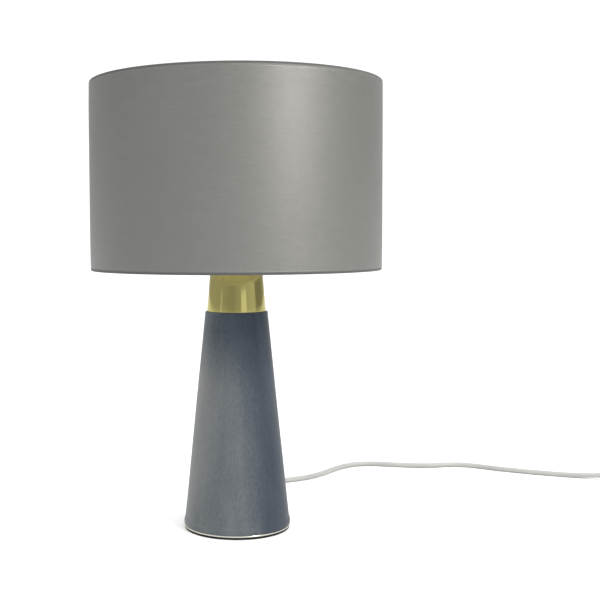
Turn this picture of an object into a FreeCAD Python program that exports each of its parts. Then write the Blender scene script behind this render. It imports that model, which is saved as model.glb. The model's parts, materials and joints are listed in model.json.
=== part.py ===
"""Table lamp: velvet cone on a metal base, brass neck, drum shade, mains lead with a switch and a plug.

Lengths are millimetres. The origin is on the table, on the lamp's axis.
The lead leaves the back of the lamp, towards +Y.
"""
import FreeCAD, Part
import math
import os

V = FreeCAD.Vector
UP = V(0, 0, 1)

# Drum shade
SHADE_RADIUS = 150.0
SHADE_BOTTOM = 270.0
SHADE_TOP = 461.0
FABRIC = 0.5
LINER = 0.8
SHADE_WIRE = 1.6
EDGE_TURN = 5.0
SPOKE_ANGLES = (90, 210, 330)

# Cone body: the outside of the velvet, from the bottom up
CONE_SLOPE = 0.1022
CONE_FOOT_RADIUS = 55.3
CONE_BOTTOM = 4.0
CONE_TOP = 227.0
VELVET = 1.2
SHELL_WALL = 1.4
SHELL_TOP_PLATE = 2.0
HEM_RADIUS = 55.7
HEM_TOP = 8.0

# Base stack
PAD_RADIUS = 54.9
PAD_TOP = 1.8
PLATE_RADIUS = 55.5
BALLAST_RADIUS = 43.5
BALLAST_TOP = 15.0
BASE_SCREW_CIRCLE = 48.4
BASE_SCREW_ANGLES = (60, 180, 300)
BASE_SCREW_RADIUS = 1.95
BOSS_RADIUS = 4.2
BOSS_TOP = 18.0

# Brass neck cone and the threaded stem tube inside it
NECK_FOOT_RADIUS = 30.9
NECK_SLOPE = 0.0884
NECK_TOP = 288.0
NECK_WALL = 1.2
STEM_RADIUS = 5.0
STEM_BORE = 3.7
STEM_BOTTOM = 208.0
STEM_TOP = 302.0
STEM_NUT_FLATS = 14.0
STEM_NUT_HEIGHT = 3.0
WASHER_HEIGHT = 1.2

# Lampholder, from the bottom of its collar up
HOLDER_BOTTOM = 293.0
HOLDER_RADIUS = 19.0
HOLDER_WALL = 2.0
SKIRT_RADIUS = 19.9
SKIRT_BORE = 16.8
SKIRT_BOTTOM = 317.0
SKIRT_TOP = 348.0
FLANGE_RADIUS = 23.5
FLANGE_TOP = 320.0
SCREW_SHELL_BORE = 13.3
FITTER_BOTTOM = FLANGE_TOP + 0.3
FITTER_TOP = FITTER_BOTTOM + 1.8
CLAMP_BOTTOM = FITTER_TOP + 0.3
CLAMP_TOP = CLAMP_BOTTOM + 9.0

# Bulb
BULB_TIP = 322.4
BULB_CAP_RADIUS = 13.2
BULB_CAP_TOP = 350.0
GLOBE_RADIUS = 30.0
GLOBE_MIDDLE = 400.0
GLOBE_FOOT = 382.0

# Mains lead
CORD_RADIUS = 3.0
CORD_REST = CORD_RADIUS + 0.05
EXIT_HEIGHT = 20.0
SLEEVE_END = 82.0
SLEEVE_TIP_RADIUS = 3.9
SLEEVE_ROOT_RADIUS = 5.8
GLAND_FLANGE_RADIUS = 8.0

# Switch on the lead
SWITCH_PLACE = V(497, 188, 0)
SWITCH_ANGLE = -12.0
SWITCH_LENGTH = 64.0
SWITCH_WIDTH = 27.0
SWITCH_HEIGHT = 17.0
SWITCH_SPLIT = 7.0
SWITCH_WALL = 2.0
ROCKER_LENGTH = 20.0
WINDOW_GAP = 0.9
ROCKER_WIDTH = 12.0
ROCKER_TILT = 8.0
ROCKER_PIVOT_HEIGHT = 12.5

# Coil of the put-away lead: flat ring of turns, and the plug beside it
COIL_PLACE = V(517.5, 123, 0)
COIL_INNER = 25.2
COIL_OUTER = 43.2
COIL_HEIGHT = 11.4
TIE_ANGLE = 165.0
TIE_WIDTH = 9.0
TIE_THICKNESS = 0.7
PLUG_HEADING = 200.0
PLUG_RADIUS_ON_COIL = 37.2
PLUG_DISTANCE = 38.0
PLUG_HEIGHT = 6.9

LEAD_ROUTE = [
    V(0, 82, 20), V(0.5, 99, 18.3), V(3, 119, 12.5), V(9, 138.5, 6.2), V(19, 156, 3.3),
    V(33, 170, CORD_REST), V(48, 182, CORD_REST), V(64, 191.5, CORD_REST), V(84.5, 201.5, CORD_REST),
    V(106.5, 222.5, CORD_REST), V(129, 256, CORD_REST), V(151, 277.5, CORD_REST), V(174, 282, CORD_REST),
    V(195, 278, CORD_REST), V(215, 272.5, CORD_REST), V(236, 269, CORD_REST), V(257, 269, CORD_REST),
    V(279, 274.5, CORD_REST), V(300, 272, CORD_REST), V(319, 261.5, CORD_REST), V(336, 249.5, CORD_REST),
    V(354, 239.5, CORD_REST), V(374, 229.5, CORD_REST), V(395.5, 220.5, CORD_REST), V(417, 212, CORD_REST),
    V(441, 202.5, 4.4), V(464.5, 195, 7),
]
LINK_ROUTE = [
    V(529.5, 181.1, 7), V(541, 178.9, 6), V(552, 171.7, 4.4), V(559.7, 161.1, 3.3),
    V(563.9, 148.4, CORD_REST), V(563.4, 135, CORD_REST), V(559, 123, CORD_REST),
]
INNER_ROUTE = [
    V(0, 82, 20), V(0, 22, 20), V(0, 6, 28.5), V(0, -5, 46), V(0, -7.5, 80), V(0, -3.5, 118),
    V(0, 0, 155), V(0, 0, 299),
]


def cone_radius(height):
    """Outside radius of the velvet cone at a height."""
    return CONE_FOOT_RADIUS - CONE_SLOPE * (height - CONE_BOTTOM)


def neck_radius(height):
    """Outside radius of the brass neck at a height."""
    return NECK_FOOT_RADIUS - NECK_SLOPE * (height - CONE_TOP)


def turned(profile):
    """Solid of revolution about Z from (radius, height) points."""
    points = [V(radius, 0, height) for radius, height in profile]
    wire = Part.makePolygon(points + points[:1])
    return Part.Face(wire).revolve(V(0, 0, 0), UP, 360)


def disc(radius, low, high, hole=0.0):
    """Round plate from one height to another, with a hole if one is given."""
    solid = Part.makeCylinder(radius, high - low, V(0, 0, low))
    if hole:
        solid = solid.cut(Part.makeCylinder(hole, high - low + 2, V(0, 0, low - 1)))
    return solid


def around(radius, angle, height=0.0):
    """Point at an angle on a circle about Z."""
    turn = math.radians(angle)
    return V(radius * math.cos(turn), radius * math.sin(turn), height)


def hexagon(flats, low, high, hole):
    """Hexagon nut on the Z axis."""
    corners = [around(flats / math.sqrt(3), 60 * side, low) for side in range(6)]
    blank = Part.Face(Part.makePolygon(corners + corners[:1])).extrude(V(0, 0, high - low))
    return blank.cut(Part.makeCylinder(hole, high - low + 2, V(0, 0, low - 1)))


def arc_radius(before, corner, after):
    """Largest tangent arc that two runs allow at their corner."""
    one = corner.sub(before)
    two = after.sub(corner)
    turn = one.getAngle(two)
    return 0.45 * min(one.Length, two.Length) / math.tan(turn / 2), turn


def centreline(route):
    """Straight runs joined by tangent arcs, and the radius of each arc."""
    edges = []
    radii = []
    start = route[0]
    for before, corner, after in zip(route, route[1:], route[2:]):
        radius, turn = arc_radius(before, corner, after)
        radii.append(radius)
        back = before.sub(corner).normalize()
        ahead = after.sub(corner).normalize()
        reach = radius * math.tan(turn / 2)
        first = corner + back * reach
        last = corner + ahead * reach
        inward = (back + ahead).normalize()
        middle = corner + inward * (radius / math.cos(turn / 2) - radius)
        edges.append(Part.LineSegment(start, first).toShape())
        edges.append(Part.Arc(first, middle, last).toShape())
        start = last
    edges.append(Part.LineSegment(start, route[-1]).toShape())
    return Part.Wire(edges), radii


def tube(route, radius, name):
    """Round solid along a route; prints its length, its arcs and how its volume compares."""
    path, radii = centreline(route)
    heading = route[1].sub(route[0])
    section = Part.Wire([Part.makeCircle(radius, route[0], heading)])
    solid = path.makePipeShell([section], True, False)
    expected = math.pi * radius**2 * path.Length
    least = min(radii) if radii else 0.0
    print(f"{name}: {path.Length:.1f} mm long, tightest arc {least:.1f} mm, "
          f"volume {solid.Volume / expected:.4f} of section x length")
    if radii:
        print("   radii", " ".join(f"{value:.0f}" for value in radii))
    return solid


def drilled(solid, centre, direction, radius, depth):
    """The solid with one round hole."""
    return solid.cut(Part.makeCylinder(radius, depth, centre, direction))


def placed(solid, place, angle):
    """The solid turned about Z, then moved."""
    moved = solid.copy()
    moved.rotate(V(0, 0, 0), UP, angle)
    moved.translate(place)
    return moved


def foot_pad():
    return disc(PAD_RADIUS, 0, PAD_TOP)


def base_screw_places():
    return [around(BASE_SCREW_CIRCLE, angle) for angle in BASE_SCREW_ANGLES]


def base_plate():
    plate = disc(PLATE_RADIUS, PAD_TOP, CONE_BOTTOM)
    rim = [edge for edge in plate.Edges if abs(edge.BoundBox.ZMin - edge.BoundBox.ZMax) < 0.001]
    plate = plate.makeFillet(0.6, rim)
    for place in base_screw_places():
        plate = plate.cut(countersink(place, 0.05))
    return plate


def countersink(place, gap):
    """Shank and countersunk head of a base screw, grown by a gap."""
    low = V(place.x, place.y, PAD_TOP)
    head = Part.makeCone(3.8 + gap, BASE_SCREW_RADIUS + gap, CONE_BOTTOM - PAD_TOP, low)
    shank = Part.makeCylinder(BASE_SCREW_RADIUS + gap, BOSS_TOP - PAD_TOP - 2, low)
    return head.fuse(shank).removeSplitter()


def base_screws():
    screws = []
    for place in base_screw_places():
        slot = Part.makeBox(8, 0.8, 0.8, V(place.x - 4, place.y - 0.4, PAD_TOP))
        screws.append(countersink(place, 0).cut(slot))
    return Part.makeCompound(screws)


def clamp_screw_places():
    return [V(-8, 34, 0), V(8, 34, 0)]


def ballast_weight():
    weight = disc(BALLAST_RADIUS, CONE_BOTTOM, BALLAST_TOP)
    top = [edge for edge in weight.Edges if edge.BoundBox.ZMin > BALLAST_TOP - 0.001]
    weight = weight.makeChamfer(1.5, top)
    for place in clamp_screw_places():
        weight = drilled(weight, V(place.x, place.y, BALLAST_TOP - 7), UP, 1.55, 8)
    return weight


def cord_clamp():
    """Bridge that holds the lead down on the ballast."""
    bridge = Part.makeBox(24, 8, 11, V(-12, 30, BALLAST_TOP))
    bridge = bridge.makeFillet(2, [edge for edge in bridge.Edges if edge.BoundBox.ZMin > 25.9])
    bridge = bridge.cut(Part.makeBox(6.4, 10, 8.3, V(-3.2, 29, BALLAST_TOP - 0.1)))
    for place in clamp_screw_places():
        bridge = drilled(bridge, V(place.x, place.y, BALLAST_TOP - 1), UP, 1.6, 14)
    return bridge


def clamp_screws():
    screws = []
    for place in clamp_screw_places():
        shank = Part.makeCylinder(1.5, 17, V(place.x, place.y, 9))
        head = Part.makeCylinder(2.8, 2, V(place.x, place.y, 26))
        slot = Part.makeBox(6, 0.7, 1, V(place.x - 3, place.y - 0.35, 27.2))
        screws.append(shank.fuse(head).removeSplitter().cut(slot))
    return Part.makeCompound(screws)


def gland_hole(radius):
    return Part.makeCylinder(radius, 40, V(0, 30, EXIT_HEIGHT), V(0, 1, 0))


def cone_shell():
    """Hollow metal cone under the velvet, with three bosses for the base screws."""
    top = CONE_TOP - 1.0
    foot = cone_radius(CONE_BOTTOM) - VELVET
    head = cone_radius(top) - VELVET
    shell = turned([
        (foot, CONE_BOTTOM), (head, top), (STEM_RADIUS + 0.1, top),
        (STEM_RADIUS + 0.1, top - SHELL_TOP_PLATE),
        (head - SHELL_WALL, top - SHELL_TOP_PLATE), (foot - SHELL_WALL, CONE_BOTTOM),
    ])
    solid_cone = turned([(0, CONE_BOTTOM), (foot - 0.2, CONE_BOTTOM), (head - 0.2, top), (0, top)])
    for place in base_screw_places():
        boss = Part.makeCylinder(BOSS_RADIUS, BOSS_TOP - CONE_BOTTOM, V(place.x, place.y, CONE_BOTTOM))
        shell = shell.fuse(boss.common(solid_cone))
    shell = shell.removeSplitter()
    for place in base_screw_places():
        shell = drilled(shell, V(place.x, place.y, CONE_BOTTOM - 1), UP, BASE_SCREW_RADIUS + 0.05, 13.5)
    return shell.cut(gland_hole(5.1))


def velvet_cover():
    """Covering of the cone: a rounded hem on the base plate, and a fold over the top of the shell."""
    top_of_shell = CONE_TOP - 1.0
    cover = turned([
        (cone_radius(CONE_BOTTOM) - VELVET, CONE_BOTTOM), (HEM_RADIUS - 0.6, CONE_BOTTOM),
        (HEM_RADIUS, CONE_BOTTOM + 0.8), (HEM_RADIUS, HEM_TOP - 0.6), (HEM_RADIUS - 0.3, HEM_TOP + 1.0),
        (cone_radius(12), 12), (cone_radius(top_of_shell), top_of_shell),
        (cone_radius(CONE_TOP) - 0.5, CONE_TOP), (26, CONE_TOP), (26, top_of_shell),
        (cone_radius(top_of_shell) - VELVET, top_of_shell),
    ])
    return cover.cut(gland_hole(5.1))


def cord_gland():
    """Flanged rubber strain relief: a stub through the wall and a tapered sleeve outside it."""
    back = cone_radius(EXIT_HEIGHT)
    along = V(0, 1, 0)
    stub = Part.makeCylinder(5.0, 14, V(0, back - 9, EXIT_HEIGHT), along)
    flange = Part.makeCylinder(GLAND_FLANGE_RADIUS, 4, V(0, back - 1.2, EXIT_HEIGHT), along)
    flange = flange.makeFillet(0.8, [edge for edge in flange.Edges if edge.BoundBox.YMin > back + 2.7])
    flange = flange.cut(turned([
        (0, 0), (cone_radius(0) + 0.1, 0), (cone_radius(60) + 0.1, 60), (0, 60),
    ]))
    root = back + 1.0
    foot = V(0, root, EXIT_HEIGHT)
    sleeve = Part.makeCone(SLEEVE_ROOT_RADIUS, SLEEVE_TIP_RADIUS, SLEEVE_END - root, foot, along)
    gland = stub.fuse([flange, sleeve]).removeSplitter()
    for groove in range(4):
        place = back + 8 + 4.5 * groove
        ring = Part.makeCylinder(9, 1.2, V(0, place, EXIT_HEIGHT), along)
        core = SLEEVE_ROOT_RADIUS - 0.9 - 0.33 * groove
        gland = gland.cut(ring.cut(Part.makeCylinder(core, 1.2, V(0, place, EXIT_HEIGHT), along)))
    return gland.cut(Part.makeCylinder(CORD_RADIUS + 0.05, 60, V(0, 30, EXIT_HEIGHT), along))


def gland_nut():
    """Locking ring of the gland, inside the shell wall and cut to its slope."""
    wall = cone_radius(EXIT_HEIGHT) - VELVET - SHELL_WALL
    ring = Part.makeCylinder(7.5, 5, V(0, wall - 4.6, EXIT_HEIGHT), V(0, 1, 0))
    inside = VELVET + SHELL_WALL + 0.1
    room = turned([(0, 0), (cone_radius(0) - inside, 0), (cone_radius(60) - inside, 60), (0, 60)])
    return ring.common(room).cut(gland_hole(5.1))


def neck_cone():
    """Spun brass cone with a closed top and a small turned-in foot."""
    edge = 0.8
    return turned([
        (neck_radius(CONE_TOP) - 4, CONE_TOP), (neck_radius(CONE_TOP) - 0.4, CONE_TOP),
        (neck_radius(CONE_TOP), CONE_TOP + 0.4), (neck_radius(NECK_TOP - edge), NECK_TOP - edge),
        (neck_radius(NECK_TOP) - edge, NECK_TOP), (STEM_RADIUS + 0.1, NECK_TOP),
        (STEM_RADIUS + 0.1, NECK_TOP - NECK_WALL), (neck_radius(NECK_TOP) - NECK_WALL, NECK_TOP - NECK_WALL),
        (neck_radius(CONE_TOP) - NECK_WALL, CONE_TOP + NECK_WALL),
        (neck_radius(CONE_TOP) - 4, CONE_TOP + NECK_WALL),
    ])


def stem_tube():
    return disc(STEM_RADIUS, STEM_BOTTOM, STEM_TOP, STEM_BORE)


def stem_nut(low):
    return hexagon(STEM_NUT_FLATS, low, low + STEM_NUT_HEIGHT, STEM_RADIUS + 0.05)


def stem_washer(low):
    return disc(11, low, low + WASHER_HEIGHT, STEM_RADIUS + 0.1)


def holder_cap():
    """Lower half of the lampholder: threaded collar, dome and a short wall."""
    wall_foot = HOLDER_BOTTOM + 17
    cap = turned([
        (STEM_RADIUS + 0.05, HOLDER_BOTTOM), (8.5, HOLDER_BOTTOM), (8.5, HOLDER_BOTTOM + 6),
        (13, HOLDER_BOTTOM + 9), (17.2, HOLDER_BOTTOM + 13), (HOLDER_RADIUS, wall_foot),
        (HOLDER_RADIUS, SKIRT_BOTTOM), (HOLDER_RADIUS - HOLDER_WALL, SKIRT_BOTTOM),
        (HOLDER_RADIUS - HOLDER_WALL, wall_foot), (15.2, HOLDER_BOTTOM + 14), (11.5, HOLDER_BOTTOM + 10.5),
        (STEM_RADIUS + 0.05, HOLDER_BOTTOM + 9),
    ])
    return drilled(cap, V(4, 0, HOLDER_BOTTOM + 3), V(1, 0, 0), 1.55, 6)


def holder_lock_screw():
    screw = Part.makeCylinder(1.5, 3.6, V(5.05, 0, HOLDER_BOTTOM + 3), V(1, 0, 0))
    slot = Part.makeBox(0.8, 4, 0.5, V(8.1, -2, HOLDER_BOTTOM + 2.75))
    return screw.cut(slot)


def holder_skirt():
    """Outer sleeve: a flange that carries the shade and a coarse thread above it."""
    profile = [(SKIRT_BORE, SKIRT_BOTTOM), (FLANGE_RADIUS, SKIRT_BOTTOM), (FLANGE_RADIUS, FLANGE_TOP)]
    profile.append((SKIRT_RADIUS, FLANGE_TOP))
    pitch = 2.5
    for turn in range(10):
        foot = FLANGE_TOP + 1.5 + pitch * turn
        profile.append((SKIRT_RADIUS, foot))
        profile.append((SKIRT_RADIUS - 0.7, foot + 0.6))
        profile.append((SKIRT_RADIUS - 0.7, foot + 0.9))
        profile.append((SKIRT_RADIUS, foot + 1.5))
    profile.append((SKIRT_RADIUS - 0.2, SKIRT_TOP - 0.6))
    profile.append((SKIRT_RADIUS - 0.8, SKIRT_TOP))
    profile.append((SKIRT_BORE, SKIRT_TOP))
    return turned(profile)


def terminal_screw_places():
    return [V(-10, 0, 0), V(10, 0, 0)]


def holder_insulator():
    """Block that carries the terminals and the screw shell."""
    block = disc(16.4, 310, 318.5)
    block = block.cut(Part.makeBox(10, 8, 5, V(-5, -4, 309.5)))
    block = block.cut(Part.makeCylinder(2.1, 12, V(0, 6, 308)))
    for place in terminal_screw_places():
        block = drilled(block, V(place.x, place.y, 309), UP, 2.05, 6)
    return block


def terminal_screws():
    screws = []
    for place in terminal_screw_places():
        shank = Part.makeCylinder(2.0, 6.5, V(place.x, place.y, 307.8))
        slot = Part.makeBox(5, 0.7, 0.8, V(place.x - 2.5, place.y - 0.35, 307.8))
        screws.append(shank.cut(slot))
    return Part.makeCompound(screws)


def core_wires():
    """Two insulated cores from the end of the sheath to the terminals."""
    wires = []
    for side in (-1, 1):
        bends = [(1.4, 299.3), (1.8, 303), (4.6, 305.6), (7.4, 306.6), (9.6, 306.6)]
        route = [V(out * side, 0, height) for out, height in bends]
        wires.append(tube(route, 1.1, "core wire"))
    return Part.makeCompound(wires)


def screw_shell():
    """Sheet-metal socket for the bulb's thread, turned in at the bottom and flared at the top."""
    bore = SCREW_SHELL_BORE
    return turned([
        (9, 318.6), (bore + 0.6, 318.6), (bore + 0.6, 345), (bore + 2.2, 346.4), (bore + 2.2, 346.9),
        (bore, 345.4), (bore, 319.2), (9, 319.2),
    ])


def centre_contact():
    """Springy tongue that meets the tip of the bulb."""
    side = [V(-7, 0, 318.6), V(4, 0, 321.3), V(4, 0, 321.9), V(-7.2, 0, 319.2), V(-7.2, 0, 318.6)]
    blade = Part.Face(Part.makePolygon(side + side[:1])).extrude(V(0, 5, 0))
    blade.translate(V(0, -2.5, 0))
    return blade


def shade_clamp_ring():
    """Threaded ring with finger ribs that holds the fitter down on the flange."""
    ring = disc(23, CLAMP_BOTTOM, CLAMP_TOP, SKIRT_RADIUS + 0.1)
    lip = disc(26, CLAMP_BOTTOM, CLAMP_BOTTOM + 2, SKIRT_RADIUS + 0.1)
    ribs = []
    height = CLAMP_TOP - CLAMP_BOTTOM - 0.8
    for rib in range(12):
        ribs.append(Part.makeCylinder(1.5, height, around(22.9, 30 * rib, CLAMP_BOTTOM)))
    return ring.fuse([lip] + ribs).removeSplitter()


def fitter_ring():
    return disc(29, FITTER_BOTTOM, FITTER_TOP, SKIRT_RADIUS + 1.0)


def spoke(angle, radius, reach):
    """Straight wire from the fitter ring down to the lower wire ring."""
    inner = V(27.6, 0, FITTER_BOTTOM + 0.9)
    outer = V(SHADE_RADIUS - 4.2 + reach, 0, SHADE_BOTTOM + 2.4 - 0.4 * reach)
    run = outer.sub(inner)
    wire = Part.makeCylinder(radius, run.Length, inner, run)
    wire.rotate(V(0, 0, 0), UP, angle)
    return wire


def shade_spokes():
    return Part.makeCompound([spoke(angle, SHADE_WIRE, 0) for angle in SPOKE_ANGLES])


def wire_ring(height):
    return Part.makeTorus(wire_ring_radius(), SHADE_WIRE, V(0, 0, height))


def wire_ring_radius():
    return SHADE_RADIUS - FABRIC - LINER - SHADE_WIRE - 0.1


def shade_liner():
    return disc(SHADE_RADIUS - FABRIC, SHADE_BOTTOM + FABRIC + 0.05, SHADE_TOP - FABRIC - 0.05,
                SHADE_RADIUS - FABRIC - LINER)


def shade_fabric():
    """Satin cylinder whose two edges are rolled round the wire rings to the inside."""
    inner = wire_ring_radius() - SHADE_WIRE - 0.1
    skin = turned([
        (SHADE_RADIUS - 0.4, SHADE_BOTTOM), (SHADE_RADIUS, SHADE_BOTTOM + 0.5),
        (SHADE_RADIUS, SHADE_TOP - 0.5),
        (SHADE_RADIUS - 0.4, SHADE_TOP), (inner, SHADE_TOP), (inner - FABRIC, SHADE_TOP - 0.5),
        (inner - FABRIC, SHADE_TOP - EDGE_TURN), (inner, SHADE_TOP - EDGE_TURN), (inner, SHADE_TOP - FABRIC),
        (SHADE_RADIUS - FABRIC, SHADE_TOP - FABRIC), (SHADE_RADIUS - FABRIC, SHADE_BOTTOM + FABRIC),
        (inner, SHADE_BOTTOM + FABRIC), (inner, SHADE_BOTTOM + EDGE_TURN),
        (inner - FABRIC, SHADE_BOTTOM + EDGE_TURN),
        (inner - FABRIC, SHADE_BOTTOM + 0.5), (inner, SHADE_BOTTOM),
    ])
    for angle in SPOKE_ANGLES:
        notch = Part.makeBox(8, 5, 8, V(inner - 5, -2.5, SHADE_BOTTOM + 0.6))
        notch.rotate(V(0, 0, 0), UP, angle)
        skin = skin.cut(notch)
    return skin


def bulb_contact():
    return Part.makeCone(3.2, 4.6, 1.4, V(0, 0, BULB_TIP))


def bulb_insulator():
    foot = BULB_TIP + 1.5
    return turned([(0, foot), (4.8, foot), (9.5, foot + 3), (9.5, foot + 4.5), (0, foot + 4.5)])


def bulb_cap():
    """Screw cap, drawn as a shell with shallow thread grooves."""
    foot = BULB_TIP + 4
    profile = [(9.7, foot), (10.6, foot), (BULB_CAP_RADIUS, foot + 2.6)]
    pitch = 3.63
    for turn in range(5):
        start = foot + 3.4 + pitch * turn
        profile.append((BULB_CAP_RADIUS, start))
        profile.append((BULB_CAP_RADIUS - 0.9, start + 1.1))
        profile.append((BULB_CAP_RADIUS - 0.9, start + 1.6))
        profile.append((BULB_CAP_RADIUS, start + 2.7))
    profile.append((BULB_CAP_RADIUS, BULB_CAP_TOP))
    profile.append((11.7, BULB_CAP_TOP))
    profile.append((11.7, foot + 3))
    profile.append((9.7, foot + 2.1))
    return turned(profile)


def bulb_collar():
    """Plastic body of the bulb between the cap and the globe."""
    return turned([
        (10.8, BULB_CAP_TOP - 6), (11.6, BULB_CAP_TOP - 6), (11.6, BULB_CAP_TOP + 0.1),
        (13.6, BULB_CAP_TOP + 0.1),
        (14.4, BULB_CAP_TOP + 4), (19.2, BULB_CAP_TOP + 20), (24.2, GLOBE_FOOT), (21.8, GLOBE_FOOT),
        (16.8, BULB_CAP_TOP + 20), (12.6, BULB_CAP_TOP + 5), (10.8, BULB_CAP_TOP + 1),
    ])


def led_board():
    return disc(20.5, GLOBE_FOOT - 1.9, GLOBE_FOOT - 0.3).fuse(
        Part.makeCylinder(2.4, 1.0, V(0, 0, GLOBE_FOOT - 0.4))).removeSplitter()


def bulb_globe():
    """Opal globe, open at its foot."""
    centre = V(0, 0, GLOBE_MIDDLE)
    globe = Part.makeSphere(GLOBE_RADIUS, centre).cut(Part.makeSphere(GLOBE_RADIUS - 1.2, centre))
    below = Part.makeCylinder(40, 60, V(0, 0, GLOBE_FOOT + 0.1 - 60))
    return globe.cut(below)


def switch_body():
    """Outside of the whole switch housing, on its own axes."""
    half = SWITCH_LENGTH / 2
    body = Part.makeBox(SWITCH_LENGTH, SWITCH_WIDTH, SWITCH_HEIGHT, V(-half, -SWITCH_WIDTH / 2, 0))
    upright = [edge for edge in body.Edges if edge.BoundBox.ZLength > 1]
    body = body.makeFillet(9, upright)
    rim = [edge for edge in body.Edges if edge.BoundBox.ZMin > SWITCH_HEIGHT - 0.01]
    return body.makeFillet(2.4, rim)


def switch_hollow():
    half = SWITCH_LENGTH / 2 - SWITCH_WALL
    width = SWITCH_WIDTH - 2 * SWITCH_WALL
    corner = V(-half, -width / 2, SWITCH_WALL)
    hollow = Part.makeBox(2 * half, width, SWITCH_HEIGHT - 2 * SWITCH_WALL, corner)
    return hollow.makeFillet(6, [edge for edge in hollow.Edges if edge.BoundBox.ZLength > 1])


def switch_slab(low, high):
    return Part.makeBox(100, 60, high - low, V(-50, -30, low))


def switch_lower():
    half = switch_body().common(switch_slab(0, SWITCH_SPLIT)).cut(switch_hollow())
    for place in switch_screw_places():
        post = Part.makeCylinder(2.6, SWITCH_SPLIT - 1, V(place.x, place.y, 0.5))
        half = half.fuse(post)
    half = half.removeSplitter()
    for place in switch_screw_places():
        half = drilled(half, V(place.x, place.y, -1), UP, 1.35, 30)
    return placed(half, SWITCH_PLACE, SWITCH_ANGLE)


def switch_upper():
    half = switch_body().common(switch_slab(SWITCH_SPLIT + 0.1, 40)).cut(switch_hollow())
    length = ROCKER_LENGTH + 2 * WINDOW_GAP
    width = ROCKER_WIDTH + WINDOW_GAP
    window = Part.makeBox(length, width, 12, V(-length / 2, -width / 2, 10))
    return placed(half.cut(window), SWITCH_PLACE, SWITCH_ANGLE)


def switch_screw_places():
    return [V(-21, 6.2, 0), V(21, -6.2, 0)]


def switch_screws():
    screws = []
    for place in switch_screw_places():
        head = Part.makeCylinder(1.25, 6, V(place.x, place.y, 0.3))
        slot = Part.makeBox(4, 0.6, 0.7, V(place.x - 2, place.y - 0.3, 0.2))
        screws.append(head.cut(slot))
    return placed(Part.makeCompound(screws), SWITCH_PLACE, SWITCH_ANGLE)


def switch_rocker():
    """Rocker with two finger faces that meet at a shallow angle over its pivot."""
    half = ROCKER_LENGTH / 2
    rise = math.tan(math.radians(ROCKER_TILT)) * half
    crest = 16.2 + rise
    side = [V(-half, 0, 10.9), V(half, 0, 10.9), V(half, 0, crest), V(0, 0, 16.2), V(-half, 0, crest)]
    body = Part.Face(Part.makePolygon(side + side[:1])).extrude(V(0, ROCKER_WIDTH, 0))
    body.translate(V(0, -ROCKER_WIDTH / 2, 0))
    pin_foot = V(0, -ROCKER_WIDTH / 2 - 3, ROCKER_PIVOT_HEIGHT)
    pin = Part.makeCylinder(1.4, ROCKER_WIDTH + 6, pin_foot, V(0, 1, 0))
    rocker = body.fuse(pin).removeSplitter()
    rocker.rotate(V(0, 0, ROCKER_PIVOT_HEIGHT), V(0, 1, 0), ROCKER_TILT)
    return placed(rocker, SWITCH_PLACE, SWITCH_ANGLE)


def coil_ring():
    """Ring with eased corners, the outer shape of the wound turns."""
    ease = 2.6
    return turned([
        (COIL_INNER, ease), (COIL_INNER + ease, 0), (COIL_OUTER - ease, 0), (COIL_OUTER, ease),
        (COIL_OUTER, COIL_HEIGHT - ease), (COIL_OUTER - ease, COIL_HEIGHT), (COIL_INNER + ease, COIL_HEIGHT),
        (COIL_INNER, COIL_HEIGHT - ease),
    ])


def tie_block(grow, length=TIE_WIDTH):
    """Block as wide and high as the section of the coil where the tie pinches it."""
    width = COIL_OUTER - COIL_INNER - 1.0 + 2 * grow
    height = COIL_HEIGHT - 2 * TIE_THICKNESS + 2 * grow
    corner = V(COIL_INNER + 0.5 - grow, -length / 2, TIE_THICKNESS - grow)
    block = Part.makeBox(width, length, height, corner)
    return block.makeFillet(2.2 + grow, [edge for edge in block.Edges if edge.BoundBox.YLength > 1])


def coil_tie():
    band = tie_block(TIE_THICKNESS).cut(tie_block(0))
    return placed(band, COIL_PLACE, TIE_ANGLE)


def cord_coil():
    ring = placed(coil_ring(), COIL_PLACE, 0)
    space = Part.makeBox(40, TIE_WIDTH, 40, V(COIL_INNER - 10, -TIE_WIDTH / 2, -10))
    pinched = placed(space.cut(tie_block(0, TIE_WIDTH + 4)), COIL_PLACE, TIE_ANGLE)
    return ring.cut(pinched)


def plug_frame():
    """Point where the sleeve of the plug begins, and the way that the plug points."""
    heading = around(1.0, PLUG_HEADING)
    start = COIL_PLACE + around(PLUG_RADIUS_ON_COIL, PLUG_HEADING + 90) + V(0, 0, PLUG_HEIGHT)
    return start + heading * PLUG_DISTANCE, heading


def plug_placed(solid):
    start, _ = plug_frame()
    return placed(solid, start, PLUG_HEADING)


def plug_body():
    """Flat two-pin plug on its own axes: sleeve, tapered shoulders and a straight face."""
    outline = [V(13, 5.5, 0), V(20, 8, 0), V(32, 16.5, 0), V(36, 17.6, 0), V(50, 17.6, 0)]
    mirror = [V(point.x, -point.y, 0) for point in reversed(outline)]
    corners = outline + mirror
    block = Part.Face(Part.makePolygon(corners + corners[:1])).extrude(V(0, 0, 13.6))
    block.translate(V(0, 0, -6.8))
    rims = [edge for edge in block.Edges if edge.BoundBox.ZLength < 0.01 and edge.BoundBox.XMin < 49]
    block = block.makeFillet(3.0, rims)
    sleeve = Part.makeCone(3.9, 5.4, 16, V(0, 0, 0), V(1, 0, 0))
    body = block.fuse(sleeve).removeSplitter()
    for side in (-1, 1):
        body = drilled(body, V(40, 9.3 * side, 0), V(1, 0, 0), 2.02, 20)
    return plug_placed(body)


def plug_pins():
    """Two round contact pins with rounded ends."""
    pins = []
    for side in (-1, 1):
        pin = Part.makeCylinder(2.0, 28, V(41, 9.3 * side, 0), V(1, 0, 0))
        tip = [edge for edge in pin.Edges if edge.BoundBox.XMin > 68.9]
        pins.append(pin.makeFillet(1.2, tip))
    return plug_placed(Part.makeCompound(pins))


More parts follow.
